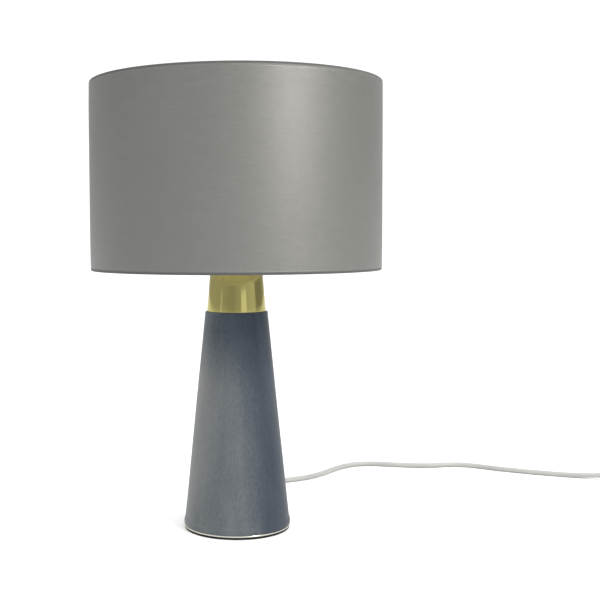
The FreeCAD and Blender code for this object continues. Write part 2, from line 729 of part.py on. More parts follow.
def tail_route():
    """Short stretch from the top layer of the coil to the plug."""
    end, heading = plug_frame()
    return [end - heading * (PLUG_DISTANCE - 20.5) + V(0, 0, 0.9), end]


NODES = {
    "foot_pad": foot_pad,
    "base_plate": base_plate,
    "base_screws": base_screws,
    "ballast_weight": ballast_weight,
    "cord_clamp": cord_clamp,
    "clamp_screws": clamp_screws,
    "cone_shell": cone_shell,
    "velvet_cover": velvet_cover,
    "cord_gland": cord_gland,
    "gland_nut": gland_nut,
    "neck_cone": neck_cone,
    "stem_tube": stem_tube,
    "stem_washer_lower": lambda: stem_washer(CONE_TOP - 1.0 - SHELL_TOP_PLATE - WASHER_HEIGHT),
    "stem_nut_lower": lambda: stem_nut(CONE_TOP - 1.0 - SHELL_TOP_PLATE - WASHER_HEIGHT - STEM_NUT_HEIGHT),
    "stem_washer_upper": lambda: stem_washer(NECK_TOP),
    "stem_nut_upper": lambda: stem_nut(NECK_TOP + WASHER_HEIGHT),
    "holder_cap": holder_cap,
    "holder_lock_screw": holder_lock_screw,
    "holder_skirt": holder_skirt,
    "holder_insulator": holder_insulator,
    "terminal_screws": terminal_screws,
    "core_wires": core_wires,
    "screw_shell": screw_shell,
    "centre_contact": centre_contact,
    "shade_clamp_ring": shade_clamp_ring,
    "fitter_ring": fitter_ring,
    "shade_spokes": shade_spokes,
    "lower_wire_ring": lambda: wire_ring(SHADE_BOTTOM + FABRIC + 0.1 + SHADE_WIRE),
    "upper_wire_ring": lambda: wire_ring(SHADE_TOP - FABRIC - 0.1 - SHADE_WIRE),
    "shade_liner": shade_liner,
    "shade_fabric": shade_fabric,
    "bulb_contact": bulb_contact,
    "bulb_insulator": bulb_insulator,
    "bulb_cap": bulb_cap,
    "bulb_collar": bulb_collar,
    "led_board": led_board,
    "bulb_globe": bulb_globe,
    "inner_lead": lambda: tube(INNER_ROUTE, CORD_RADIUS, "inner lead"),
    "cord_to_switch": lambda: tube(LEAD_ROUTE, CORD_RADIUS, "cord to switch"),
    "switch_lower": switch_lower,
    "switch_upper": switch_upper,
    "switch_screws": switch_screws,
    "switch_rocker": switch_rocker,
    "cord_to_coil": lambda: tube(LINK_ROUTE, CORD_RADIUS, "cord to coil"),
    "cord_coil": cord_coil,
    "coil_tie": coil_tie,
    "cord_to_plug": lambda: tube(tail_route(), CORD_RADIUS, "cord to plug"),
    "plug_body": plug_body,
    "plug_pins": plug_pins,
}


def build():
    os.makedirs("parts", exist_ok=True)
    for name, make in NODES.items():
        shape = make()
        if not shape.isValid() or not shape.Solids:
            print(f"{name} is not a valid solid")
        shape.exportStep(f"parts/{name}.step")
        print(f"{name}: {len(shape.Solids)} solid, {shape.Volume / 1000:.2f} cm3")


build()
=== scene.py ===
# %% [markdown]
# A table lamp, rebuilt as the maker would assemble it. The engineering model is loaded first as a fixed
# frame: every screw, tube and ring already has its true size and place. What this lesson adds is the skin
# of the lamp: velvet glued to a cone, spun brass, satin rolled round wires, and a soft white lead.
# Lengths are metres, and the origin is on the table under the middle of the lamp. Only the lead's route and
# the mouldings on it are written in millimetres, as their maker would draw them.

# %% Load the frame
import json
import math

import bmesh
import bpy
from mathutils import Matrix, Vector


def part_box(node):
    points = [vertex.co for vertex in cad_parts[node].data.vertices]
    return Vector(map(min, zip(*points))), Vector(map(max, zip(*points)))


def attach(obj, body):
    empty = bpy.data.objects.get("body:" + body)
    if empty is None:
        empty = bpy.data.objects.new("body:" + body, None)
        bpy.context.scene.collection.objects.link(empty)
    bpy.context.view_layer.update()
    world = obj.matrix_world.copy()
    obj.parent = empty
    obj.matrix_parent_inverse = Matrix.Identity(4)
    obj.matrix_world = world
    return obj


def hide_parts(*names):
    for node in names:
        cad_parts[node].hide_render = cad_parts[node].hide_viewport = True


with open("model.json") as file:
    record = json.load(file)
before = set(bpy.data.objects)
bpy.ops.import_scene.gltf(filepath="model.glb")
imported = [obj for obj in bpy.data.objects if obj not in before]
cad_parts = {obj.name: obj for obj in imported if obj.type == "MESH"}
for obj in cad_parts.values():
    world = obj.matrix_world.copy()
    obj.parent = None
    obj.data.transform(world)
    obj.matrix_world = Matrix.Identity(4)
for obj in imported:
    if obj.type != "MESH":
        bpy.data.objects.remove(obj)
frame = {"nodes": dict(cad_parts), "record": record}
for leftover in ("Cube", "Light", "Camera"):
    if leftover in bpy.data.objects:
        bpy.data.objects.remove(bpy.data.objects[leftover])
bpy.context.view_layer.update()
MM = 0.001
print("nodes:", len(frame["nodes"]))

# %% [markdown]
# The sizes that the skin needs are read back from the frame, so the two never drift apart. A lamp like this
# is nearly all turned work, so most of them are a radius and two heights.

# %% Sizes read from the frame


def span(node):
    """Radius about the lamp's axis, and the lowest and highest point, of a turned piece."""
    low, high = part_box(node)
    return (high.x - low.x) / 2, low.z, high.z


SHADE_RADIUS, SHADE_FOOT, SHADE_HEAD = span("shade_fabric")
VELVET_RADIUS, VELVET_FOOT, VELVET_HEAD = span("velvet_cover")
PLATE_RADIUS, PLATE_FOOT, PLATE_HEAD = span("base_plate")
PAD_RADIUS, PAD_FOOT, PAD_HEAD = span("foot_pad")
NECK_RADIUS, NECK_FOOT, NECK_HEAD = span("neck_cone")
print(f"shade {2000 * SHADE_RADIUS:.0f} mm across, {1000 * (SHADE_HEAD - SHADE_FOOT):.0f} mm high")
velvet_tall = VELVET_HEAD - VELVET_FOOT
print(f"velvet {2000 * VELVET_RADIUS:.0f} mm across its hem, {1000 * velvet_tall:.0f} mm high")

# %% [markdown]
# The camera comes first, because it decides what has to be tidy and what is put away out of sight. It stands
# a little over a metre in front of the lamp, level with the lower part of the shade, and looks slightly
# down. It is tipped sideways by a fifth of a degree, as a camera held by hand is. A sideways shift of the
# lens keeps the lamp left of the middle without turning the camera.

# %% Camera
SENSOR = 36.0
camera_data = bpy.data.cameras.new("product_camera")
camera_data.sensor_width = SENSOR
camera_data.lens = 63.09
camera_data.shift_x = 0.1063
camera = bpy.data.objects.new("product_camera", camera_data)
camera.location = (0.0, -1.09385, 0.3078)
LOOK_DOWN, TIP_SIDEWAYS = 0.0634, 0.0036
camera.rotation_euler = (math.radians(90) - LOOK_DOWN, TIP_SIDEWAYS, 0.0)
bpy.context.collection.objects.link(camera)
bpy.context.scene.camera = camera
print(f"lens {camera_data.lens:.1f} mm, {camera.location.length:.2f} m from the origin")

# %% [markdown]
# The lead is one length of round white flex, 6 mm thick. It is stated as 1.8 m and measures a little more
# along its route. A real one leaves the lamp straight, sags to the table within a hand's width and then
# wanders. The points of its route are the same ones that the engineering model uses. A smooth spline of
# order three is enough: it rounds every corner by itself, so no point has to be worked out between them.

# %% Route of the lead
CORD_RADIUS = 3.0 * MM
REST = 3.05
LEAD = [
    (0, 82, 20), (0.5, 99, 18.3), (3, 119, 12.5), (9, 138.5, 6.2), (19, 156, 3.3), (33, 170, REST),
    (48, 182, REST), (64, 191.5, REST), (84.5, 201.5, REST), (106.5, 222.5, REST), (129, 256, REST),
    (151, 277.5, REST), (174, 282, REST), (195, 278, REST), (215, 272.5, REST), (236, 269, REST),
    (257, 269, REST), (279, 274.5, REST), (300, 272, REST), (319, 261.5, REST), (336, 249.5, REST),
    (354, 239.5, REST), (374, 229.5, REST), (395.5, 220.5, REST), (417, 212, REST), (441, 202.5, 4.4),
    (464.5, 195, 7),
]
LINK = [
    (529.5, 181.1, 7), (541, 178.9, 6), (552, 171.7, 4.4), (559.7, 161.1, 3.3), (563.9, 148.4, REST),
    (563.4, 135, REST), (559, 123, REST),
]
COIL_MIDDLE = Vector((517.5, 123, 0))
COIL_SLOTS = [(40.2, 3.05), (34.3, 3.05), (28.4, 3.05), (31.3, 8.3), (37.2, 8.3)]
CLIMB_VIA = (23.4, 9.4)
COIL_START = math.radians(-20.0)
TURN_POINTS = 14
STEP_OVER = 0.6
PLUG_HEADING = math.radians(200.0)
PLUG_START = 38.0
PLUG_HEIGHT = 6.9


def smooth_step(part):
    """Eases from 0 to 1 as part goes from 0 to 1, and stays there."""
    part = min(max(part, 0.0), 1.0)
    return part * part * (3 - 2 * part)


def coil_section(turns):
    """Radius and height of the lead after so many turns: it steps to the next slot late in each turn."""
    slot = min(int(turns), len(COIL_SLOTS) - 1)
    if slot == len(COIL_SLOTS) - 1:
        return COIL_SLOTS[slot]
    part = smooth_step((turns - slot - STEP_OVER) / (1 - STEP_OVER))
    here, there = COIL_SLOTS[slot], COIL_SLOTS[slot + 1]
    if there[1] > here[1]:
        pull = 2 * part * (1 - part)
        return tuple((1 - part) ** 2 * a + pull * v + part**2 * b for a, v, b in zip(here, CLIMB_VIA, there))
    return tuple(a + (b - a) * part for a, b in zip(here, there))


def coil_points():
    """Turns of the put-away lead: three side by side on the table, then two in the hollows above them."""
    last = (COIL_START - PLUG_HEADING - math.radians(90)) % math.radians(360)
    sweep = math.radians(360) * len(COIL_SLOTS) + last
    count = round(sweep / math.radians(360) * TURN_POINTS)
    points = []
    for step in range(count + 1):
        swept = sweep * step / count
        radius, height = coil_section(swept / math.radians(360))
        angle = COIL_START - swept
        along, across = radius * math.cos(angle), radius * math.sin(angle)
        points.append((COIL_MIDDLE.x + along, COIL_MIDDLE.y + across, height))
    return points


def plug_start():
    """Where the sleeve of the plug begins, and the way that the plug points."""
    heading = Vector((math.cos(PLUG_HEADING), math.sin(PLUG_HEADING), 0))
    side = PLUG_HEADING + math.radians(90)
    tangent = COIL_MIDDLE + Vector((math.cos(side), math.sin(side), 0)) * COIL_SLOTS[-1][0]
    return tangent + heading * PLUG_START + Vector((0, 0, PLUG_HEIGHT)), heading


tail_end, plug_way = plug_start()
tail = [tail_end - plug_way * 14 + Vector((0, 0, 0.6)), tail_end, tail_end + plug_way * 6]
inside_switch = [(486, 190.4, 7), (508, 185.7, 7)]
coil = coil_points()
route = [(0, 74, 20)] + LEAD + inside_switch + LINK + coil + [tuple(point) for point in tail]
print(f"{len(route)} control points, {len(coil)} of them in the coil")

# %% [markdown]
# The route becomes a curve with a round section, not a mesh, so it stays one smooth length however it bends.
# Its length is measured on the finished curve, along its centreline.


def spline_curve(name, points, radius):
    """Round cord on a smooth open spline; its points are in millimetres and each one carries the radius."""
    data = bpy.data.curves.new(name, "CURVE")
    data.dimensions = "3D"
    spline = data.splines.new("NURBS")
    spline.points.add(len(points) - 1)
    for knot, point in zip(spline.points, points):
        knot.co = (*[value * MM for value in point], 1)
        knot.radius = radius
    spline.order_u = 3
    spline.use_endpoint_u = True
    spline.resolution_u = 8
    data.bevel_depth = 1.0
    data.bevel_resolution = 8
    data.use_fill_caps = True
    piece = bpy.data.objects.new(name, data)
    bpy.context.collection.objects.link(piece)
    return piece


lead = spline_curve("mains_lead", route, CORD_RADIUS)
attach(lead, "base")
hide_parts("cord_to_switch", "cord_to_coil", "cord_coil", "cord_to_plug")


def spline_line(piece):
    """Points of a curve's own centreline, in order."""
    bare = piece.data.copy()
    bare.bevel_depth = 0.0
    holder = bpy.data.objects.new("line", bare)
    mesh = bpy.data.meshes.new_from_object(holder)
    points = [vertex.co.copy() for vertex in mesh.vertices]
    bpy.data.objects.remove(holder)
    bpy.data.meshes.remove(mesh)
    return points


line = spline_line(lead)
length = sum((b - a).length for a, b in zip(line, line[1:]))
print(f"lead {length:.3f} m long")

# %% [markdown]
# Shader maths reads best as arithmetic. A small class holds one output socket and turns +, -, *, / and **
# into Math nodes. Everything else comes from one method of a finish: it takes a node's type, its settings and
# the values or links of its sockets. Colours never go through a Math node, which would turn them grey.

# %% Values that add up to nodes


class Value:
    """One output of a node, with the arithmetic that a finish needs."""

    def __init__(self, finish, socket):
        self.finish = finish
        self.socket = socket

    def maths(self, operation, *inputs):
        return self.finish.maths(operation, *inputs)

    def __add__(self, other):
        return self.maths("ADD", self, other)

    def __sub__(self, other):
        return self.maths("SUBTRACT", self, other)

    def __rsub__(self, other):
        return self.maths("SUBTRACT", other, self)

    def __mul__(self, other):
        return self.maths("MULTIPLY", self, other)

    def __truediv__(self, other):
        return self.maths("DIVIDE", self, other)

    def __pow__(self, other):
        return self.maths("POWER", self, other)

    __radd__ = __add__
    __rmul__ = __mul__

    def sine(self):
        return self.maths("SINE", self)

    def clipped(self):
        return self.finish.node("ShaderNodeClamp", {}, {0: self})


class Finish:
    """A material under construction."""

    def __init__(self, name):
        self.material = bpy.data.materials.new(name)
        self.material.use_nodes = True
        self.tree = self.material.node_tree
        self.shader = self.tree.nodes["Principled BSDF"]
        self.place = self.node("ShaderNodeTexCoord", {}, {}, "Object")

    def node(self, kind, settings, links, out=0):
        made = self.tree.nodes.new(kind)
        for key, value in settings.items():
            if key == "stops":
                self.set_stops(made.color_ramp, value)
            else:
                setattr(made, key, value)
        for key, value in links.items():
            if isinstance(value, Value):
                self.tree.links.new(value.socket, made.inputs[key])
            else:
                made.inputs[key].default_value = value
        return Value(self, made.outputs[out])

    @staticmethod
    def set_stops(ramp, stops):
        while len(ramp.elements) < len(stops):
            ramp.elements.new(0.5)
        for element, (position, colour) in zip(ramp.elements, stops):
            element.position = position
            element.color = (*colour, 1.0)

    def grain(self, scale, detail=3.0, stretch=(1, 1, 1), seed=0.0, rough=0.5):
        """Noise around 0.5; stretch is how many times finer it is along each axis."""
        spot = {"Vector": self.place, "Scale": stretch, "Location": (seed,) * 3}
        moved = self.node("ShaderNodeMapping", {}, spot)
        links = {"Vector": moved, "Scale": scale, "Detail": detail, "Roughness": rough}
        return self.node("ShaderNodeTexNoise", {}, links)

    def mix(self, first, second, amount):
        return self.node("ShaderNodeMix", {"data_type": "RGBA"}, {0: amount, 6: first, 7: second}, 2)

    def scaled(self, value, low, high, to_low=0.0, to_high=1.0):
        """A value carried from one span to another, clipped."""
        return self.node("ShaderNodeMapRange", {}, {0: value, 1: low, 2: high, 3: to_low, 4: to_high})

    def axes(self):
        split = self.node("ShaderNodeSeparateXYZ", {}, {0: self.place})
        return [Value(self, split.socket.node.outputs[axis]) for axis in range(3)]

    def around(self):
        """Angle about the lamp's axis in turns, from -0.5 to 0.5, nought towards +X."""
        x, y, _ = self.axes()
        return self.maths("ARCTAN2", y, x) / math.tau

    def maths(self, operation, *inputs):
        return self.node("ShaderNodeMath", {"operation": operation}, dict(enumerate(inputs)))

    def constants(self, **sockets):
        for name, value in sockets.items():
            self.shader.inputs[name.replace("_", " ")].default_value = value

    def feed(self, name, value):
        self.tree.links.new(value.socket, self.shader.inputs[name])

    def raised(self, height, distance, strength=1.0):
        """Surface relief from a value; distance is in metres."""
        links = {"Height": height, "Distance": distance, "Strength": strength}
        self.feed("Normal", self.node("ShaderNodeBump", {}, links))


FINISHES = {}


def finished(piece, name):
    """Puts one finish on a piece, in place of any it has."""
    piece.data.materials.clear()
    piece.data.materials.append(FINISHES[name])


# %% [markdown]
# Most hidden parts are plated, painted or moulded, and each of those families differs only in its colour,
# its gloss and the size of its blemishes. One recipe per family keeps them alike, as one factory would.

# %% Families of plain finishes


def plated(name, colour, worn, roughness, scratch=900.0):
    """Metal with faint long scratches and a slow change of colour."""
    finish = Finish(name)
    blotch = finish.grain(35.0, 4.0)
    line = finish.grain(scratch, 2.0, (0.05, 0.05, 1.0), 3.0)
    finish.constants(Metallic=1.0)
    finish.feed("Base Color", finish.mix((*colour, 1), (*worn, 1), finish.scaled(blotch, 0.35, 0.75)))
    finish.feed("Roughness", roughness + (line - 0.5) * 0.18 + (blotch - 0.5) * 0.12)
    finish.raised(line, 0.00002)
    FINISHES[name] = finish.material


def moulded(name, colour, shade, roughness, grain=1400.0, depth=0.00001, coat=0.0):
    """Plastic or rubber with a fine moulded texture."""
    finish = Finish(name)
    fine = finish.grain(grain, 2.0)
    slow = finish.grain(22.0, 3.0, seed=5.0)
    finish.constants(Coat_Weight=coat, Coat_Roughness=0.12, IOR=1.46)
    finish.feed("Base Color", finish.mix((*colour, 1), (*shade, 1), finish.scaled(slow, 0.3, 0.75)))
    finish.feed("Roughness", roughness + (fine - 0.5) * 0.15 + (slow - 0.5) * 0.08)
    finish.raised(fine, depth)
    FINISHES[name] = finish.material


plated("zinc_steel", (0.52, 0.53, 0.52), (0.40, 0.42, 0.44), 0.34)
plated("contact_brass", (0.66, 0.50, 0.22), (0.50, 0.36, 0.15), 0.28)
plated("nickel", (0.44, 0.43, 0.40), (0.34, 0.335, 0.315), 0.24)
plated("aluminium_board", (0.72, 0.73, 0.74), (0.60, 0.62, 0.64), 0.42)
moulded("white_plastic", (0.45, 0.45, 0.43), (0.40, 0.40, 0.385), 0.42)
moulded("gloss_white", (0.48, 0.48, 0.46), (0.43, 0.43, 0.415), 0.22, coat=0.3)
moulded("white_steel", (0.56, 0.56, 0.54), (0.50, 0.50, 0.48), 0.35, grain=600.0, depth=0.00003, coat=0.2)
moulded("shell_metal", (0.05, 0.055, 0.06), (0.035, 0.04, 0.045), 0.5, grain=500.0, depth=0.00003)
moulded("holder_ceramic", (0.66, 0.63, 0.56), (0.58, 0.55, 0.48), 0.55, grain=420.0, depth=0.00004)
moulded("bulb_insulator", (0.02, 0.02, 0.022), (0.012, 0.012, 0.014), 0.12, coat=0.6)
moulded("white_rubber", (0.40, 0.40, 0.39), (0.35, 0.35, 0.34), 0.42, grain=260.0, depth=0.00004)
print(len(FINISHES), "plain finishes")

# %% [markdown]
# Two hidden parts fit no family. The ballast is sand cast, so it is pitted all over, and the two cores of the
# lead are brown and blue: one material tells them apart by the side of the lamp's axis they lie on.

# %% Two finishes of their own


def sand_cast():
    """Cast iron under a thin black wash: pitted, with paler high spots."""
    finish = Finish("cast_iron")
    pits = finish.node("ShaderNodeTexVoronoi", {}, {"Vector": finish.place, "Scale": 420.0})
    lumps = finish.grain(160.0, 6.0)
    finish.constants(Metallic=0.6)
    finish.feed("Base Color", finish.mix((0.03, 0.03, 0.03, 1), (0.11, 0.10, 0.10, 1), lumps))
    finish.feed("Roughness", 0.55 + lumps * 0.3)
    finish.raised(pits + lumps, 0.0003)
    FINISHES["cast_iron"] = finish.material


def two_cores():
    """Insulation of the two cores: brown on one side of the lamp's axis and blue on the other."""
    finish = Finish("core_insulation")
    x, _, _ = finish.axes()
    side = finish.maths("GREATER_THAN", x, 0.0)
    finish.feed("Base Color", finish.mix((0.16, 0.06, 0.025, 1), (0.03, 0.10, 0.36, 1), side))
    finish.feed("Roughness", 0.3 + finish.grain(300.0) * 0.2)
    FINISHES["core_insulation"] = finish.material


sand_cast()
two_cores()

# %% [markdown]
# The velvet is a slate blue pile glued to the cone. Pile has no gloss: it is dark where the fibres point at
# you and pale where they lie over, so brushing leaves tall soft patches. A real pile could be combed hair,
# but a million fibres add nothing at this size. The nap is one value that moves the colour, and it carries
# painted light and shade: the left side is painted pale, and the right side and the head are painted dark.
# Slow patches, tall strokes and the short grain of the pile are added to that. Sheen gives the pale rim, and
# a very fine relief the tips of the pile.

# %% Velvet


def brushed_velvet():
    """Angles are turns about the axis: -0.25 is the front, nought the right and 0.25 the back."""
    finish = Finish("blue_velvet")
    turn = finish.around()
    _, _, height = finish.axes()
    patches = finish.grain(9.0, 3.0, (2.6, 2.6, 0.8), 2.3, 0.45)
    strokes = finish.grain(34.0, 3.0, (2.2, 2.2, 0.35), 6.0, 0.5)
    tips = finish.grain(2600.0, 2.0)
    # Painted light and shade: the right side and the head of the cone are painted dark, and the left side
    # pale.
    painted_shade_right = finish.scaled(turn + height * 0.18, -0.225, -0.120) - finish.scaled(turn, 0.24, 0.48)
    painted_shade_head = finish.scaled(height, 0.150, 0.208)
    painted_light_left = finish.scaled(turn, -0.30, -0.42) + finish.scaled(turn, 0.34, 0.48)
    side_light_and_shade = 0.56 + painted_light_left * (0.22 + height * 1.4) - painted_shade_right * 0.28
    lit_and_shaded = side_light_and_shade * (1.0 - painted_shade_head * 0.5)
    pile = finish.grain(520.0, 3.0, (1.0, 1.0, 0.45), 9.0, 0.6)
    # The nap adds the real patches, strokes and grain of the pile to the painted light and shade.
    nap_and_painted_shade = lit_and_shaded + (patches - 0.5) * 0.34 + (strokes - 0.5) * 0.24 + (pile - 0.5) * 0.30
    stops = [
        (0.0, (0.020, 0.027, 0.040)), (0.35, (0.049, 0.060, 0.075)),
        (0.70, (0.117, 0.129, 0.137)), (1.0, (0.190, 0.193, 0.192)),
    ]
    lie_and_painted_shade = finish.node("ShaderNodeValToRGB", {"stops": stops}, {0: nap_and_painted_shade.clipped()})
    finish.constants(Sheen_Weight=0.3, Sheen_Roughness=0.4, Sheen_Tint=(0.86, 0.87, 0.88, 1), IOR=1.3)
    finish.constants(Specular_IOR_Level=0.15)
    lit_tips = finish.scaled(tips, 0.55, 0.95) * 0.25
    finish.feed("Base Color", finish.mix(lie_and_painted_shade, (0.20, 0.21, 0.22, 1), lit_tips))
    finish.feed("Roughness", 0.85 + tips * 0.15)
    finish.raised(tips + pile * 0.8 + strokes * 0.6, 0.00014, 0.6)
    FINISHES["blue_velvet"] = finish.material


brushed_velvet()

# %% [markdown]
# The shade is grey satin laminated to a plastic film. Its weft is thick and uneven, so there are fine level
# lines with slubs, and its long floats shine in one soft upright band. The weave is laid out by angle round
# the drum and by height, so it meets itself without a break except at the glued seam. Along each rolled rim
# a dark line of painted shade is laid on the outside, and a pale tape covers the tuck inside.

# %% Satin of the shade
WEFT = 0.00062
WARP = 0.00045
ROLLED_INWARDS = 0.0032
TAPE_INWARDS = 0.0016


def satin_shade():
    finish = Finish("grey_satin")
    turn = finish.around()
    x, y, height = finish.axes()
    round_the_drum = turn * (math.tau * SHADE_RADIUS)
    waver = finish.grain(60.0, 2.0, (1, 1, 3))
    weft = ((height + waver * 0.0006) * (math.tau / WEFT)).sine() * 0.5 + 0.5
    warp = (round_the_drum * (math.tau / WARP)).sine() * 0.5 + 0.5
    slub = finish.grain(55.0, 3.0, (1, 1, 22), 1.7, 0.6)
    fleck = finish.grain(900.0, 2.0, (0.5, 0.5, 1.3), 4.4)
    cloud = finish.grain(6.0, 3.0, (1, 1, 0.6), 8.0)
    tone = 0.5 + (slub - 0.5) * 0.55 + (fleck - 0.5) * 0.5 + (cloud - 0.5) * 0.35 + (weft - 0.5) * 0.10
    stops = [(0.0, (0.052, 0.056, 0.048)), (0.5, (0.082, 0.084, 0.076)), (1.0, (0.122, 0.119, 0.110))]
    thread = finish.node("ShaderNodeValToRGB", {"stops": stops}, {0: tone.clipped()})
    finish.constants(Sheen_Weight=0.06, Sheen_Roughness=0.35, Sheen_Tint=(0.9, 0.9, 0.86, 1))
    finish.constants(Anisotropic=0.6, Specular_IOR_Level=0.6, IOR=1.8)
    above_foot = height - SHADE_FOOT
    below_head = SHADE_HEAD - height
    from_rim = finish.maths("MINIMUM", above_foot, below_head)
    # Painted shade: a near black line along each rolled rim, on the outside; the rim is also made rougher.
    at_rim = finish.scaled(from_rim, ROLLED_INWARDS, ROLLED_INWARDS - 0.0014)
    rim_painted_shade = finish.mix(thread, (0.020, 0.021, 0.020, 1), at_rim * 0.85)
    tape = SHADE_RADIUS - TAPE_INWARDS
    inside = finish.scaled((x * x + y * y) ** 0.5, tape, tape - 0.001)
    finish.feed("Base Color", finish.mix(rim_painted_shade, (0.70, 0.69, 0.65, 1), inside))
    finish.feed("Roughness", 0.30 + slub * 0.14 + (fleck - 0.5) * 0.12 + at_rim * 0.4)
    finish.raised(weft * 0.6 + warp * 0.25 + slub * 0.9 + fleck * 0.3, 0.00010, 0.55)
    FINISHES["grey_satin"] = finish.material


def satin_film():
    """Pale satin film inside the drum, with a faint drawn grain."""
    finish = Finish("shade_liner")
    drawn = finish.grain(180.0, 2.0, (1, 1, 0.1))
    cloud = finish.grain(9.0, 3.0)
    finish.feed("Base Color", finish.mix((0.76, 0.75, 0.71, 1), (0.83, 0.82, 0.78, 1), cloud))
    finish.feed("Roughness", 0.30 + drawn * 0.15)
    finish.constants(Coat_Weight=0.2, Coat_Roughness=0.2)
    finish.raised(drawn, 0.00003)
    FINISHES["shade_liner"] = finish.material


satin_shade()
satin_film()

# %% [markdown]
# The neck is spun from brass sheet and polished on the lathe. The colour is a cool greenish gold. Polishing
# leaves hairlines that run round the cone, which drag every reflection out sideways a little, so the relief
# is a noise that is very fine along the axis and nearly even round it. The steel plate at the foot is drawn
# the same way, and its lowest edge is painted dark as shade where the pad meets it.

# %% Polished brass, bright steel, felt, opal
FOOT_SHADE_TOP = 0.0009


def polished_brass():
    finish = Finish("polished_brass")
    hairline = finish.grain(260.0, 2.0, (0.3, 0.3, 16.0), 1.0)
    breath = finish.grain(18.0, 4.0, seed=3.0)
    finish.constants(Metallic=1.0, Specular_Tint=(1.0, 0.97, 0.85, 1))
    finish.feed("Base Color", finish.mix((0.42, 0.375, 0.145, 1), (0.36, 0.33, 0.12, 1), breath))
    finish.feed("Roughness", 0.09 + (breath - 0.5) * 0.05 + (hairline - 0.5) * 0.04)
    finish.raised(hairline, 0.000012, 0.5)
    FINISHES["polished_brass"] = finish.material


def bright_steel():
    finish = Finish("bright_steel")
    hairline = finish.grain(300.0, 2.0, (0.3, 0.3, 14.0))
    dull = finish.grain(30.0, 4.0, seed=2.0)
    finish.constants(Metallic=1.0)
    _, _, height = finish.axes()
    # Painted shade: the lowest edge of the plate is painted near black and made rougher where the pad meets
    # it.
    foot_shade_band = finish.scaled(height, PLATE_FOOT + FOOT_SHADE_TOP, PLATE_FOOT + FOOT_SHADE_TOP - 0.0003)
    metal = finish.mix((0.66, 0.65, 0.58, 1), (0.52, 0.51, 0.45, 1), dull)
    finish.feed("Base Color", finish.mix(metal, (0.02, 0.02, 0.02, 1), foot_shade_band))
    finish.feed("Roughness", 0.16 + dull * 0.12 + foot_shade_band * 0.5)
    finish.raised(hairline, 0.00001, 0.5)
    FINISHES["bright_steel"] = finish.material


def black_felt():
    finish = Finish("black_felt")
    fibre = finish.grain(1500.0, 4.0, rough=0.7)
    mat = finish.grain(240.0, 4.0, seed=3.0)
    finish.constants(Sheen_Weight=0.02, Sheen_Roughness=0.6, Specular_IOR_Level=0.15)
    finish.feed("Base Color", finish.mix((0.008, 0.008, 0.009, 1), (0.028, 0.028, 0.03, 1), fibre))
    finish.feed("Roughness", 0.85 + fibre * 0.12)
    finish.raised(fibre + mat, 0.0002)
    FINISHES["black_felt"] = finish.material


def opal_glass():
    finish = Finish("opal")
    milk = finish.grain(20.0, 2.0)
    finish.constants(Coat_Weight=0.4, Coat_Roughness=0.06, IOR=1.48)
    finish.feed("Base Color", finish.mix((0.60, 0.60, 0.58, 1), (0.65, 0.65, 0.63, 1), milk))
    finish.feed("Roughness", 0.28 + milk * 0.08)
    FINISHES["opal"] = finish.material


polished_brass()
bright_steel()
black_felt()
opal_glass()
finished(lead, "white_rubber")
print(len(FINISHES), "finishes")

# %% [markdown]
# Nearly every piece of this lamp is turned, so one lathe does most of the work: a profile of radius and
# height is spun about the axis. Real edges are never sharp, so a helper eases every corner of the profile
# with a small arc before it is spun.

# %% Lathe


def eased(profile, radius, steps=4):
    """The profile with its corners rounded; a corner may carry its own radius as a third number."""
    count = len(profile)
    points = []
    for index, corner in enumerate(profile):
        own = corner[2] if len(corner) > 2 else radius
        here = Vector(corner[:2])
        if own == 0:
            points.append(here)
            continue
        before = Vector(profile[index - 1][:2]) - here
        after = Vector(profile[(index + 1) % count][:2]) - here
        turn = math.pi - before.angle(after)
        reach = min(own * math.tan(turn / 2), 0.45 * before.length, 0.45 * after.length)
        start = here + before.normalized() * reach
        end = here + after.normalized() * reach
        for step in range(steps + 1):
            part = step / steps
            points.append(start * (1 - part) ** 2 + here * (2 * part * (1 - part)) + end * part**2)
    return points


def smooth(mesh, angle):
    for face in mesh.polygons:
        face.use_smooth = True
    mesh.set_sharp_from_angle(angle=math.radians(angle))


def even_angles(segments, seam=None, spread=0.0):
    """Angles of the lathe's stops, with finer ones either side of a seam."""
    angles = [math.tau * segment / segments for segment in range(segments)]
    if seam is not None:
        angles = [angle for angle in angles if abs(angle - seam) > spread]
        angles.extend(seam + spread * step / 12 for step in range(-12, 13))
    return sorted(angles)


def placed(name, shaper, angle):
    """Puts a finished bmesh in the scene as a smooth-shaded object."""
    mesh = bpy.data.meshes.new(name)
    shaper.to_mesh(mesh)
    shaper.free()
    smooth(mesh, angle)
    piece = bpy.data.objects.new(name, mesh)
    bpy.context.collection.objects.link(piece)
    return piece


def linked(name, vertices, faces, angle=35.0):
    """A mesh object from points and faces, with doubled points joined and faces turned outwards."""
    shaper = bmesh.new()
    made = [shaper.verts.new(point) for point in vertices]
    for face in faces:
        shaper.faces.new([made[index] for index in face])
    bmesh.ops.remove_doubles(shaper, verts=shaper.verts, dist=1e-7)
    bmesh.ops.recalc_face_normals(shaper, faces=shaper.faces)
    return placed(name, shaper, angle)


def lathe(name, profile, segments=192, closed=True, shape=None, seam=None, spread=0.0):
    """Spins a profile about Z; shape may move each point by its angle."""
    count = len(profile)
    vertices = []
    angles = even_angles(segments, seam, spread)
    for angle in angles:
        for radius, height in profile:
            point = Vector((radius * math.cos(angle), radius * math.sin(angle), height))
            vertices.append(shape(point, angle) if shape else point)
    faces = []
    spans = count if closed else count - 1
    for stop in range(len(angles)):
        here = stop * count
        there = (stop + 1) % len(angles) * count
        for index in range(spans):
            ahead = (index + 1) % count
            faces.append((here + index, there + index, there + ahead, here + ahead))
    return linked(name, vertices, faces)


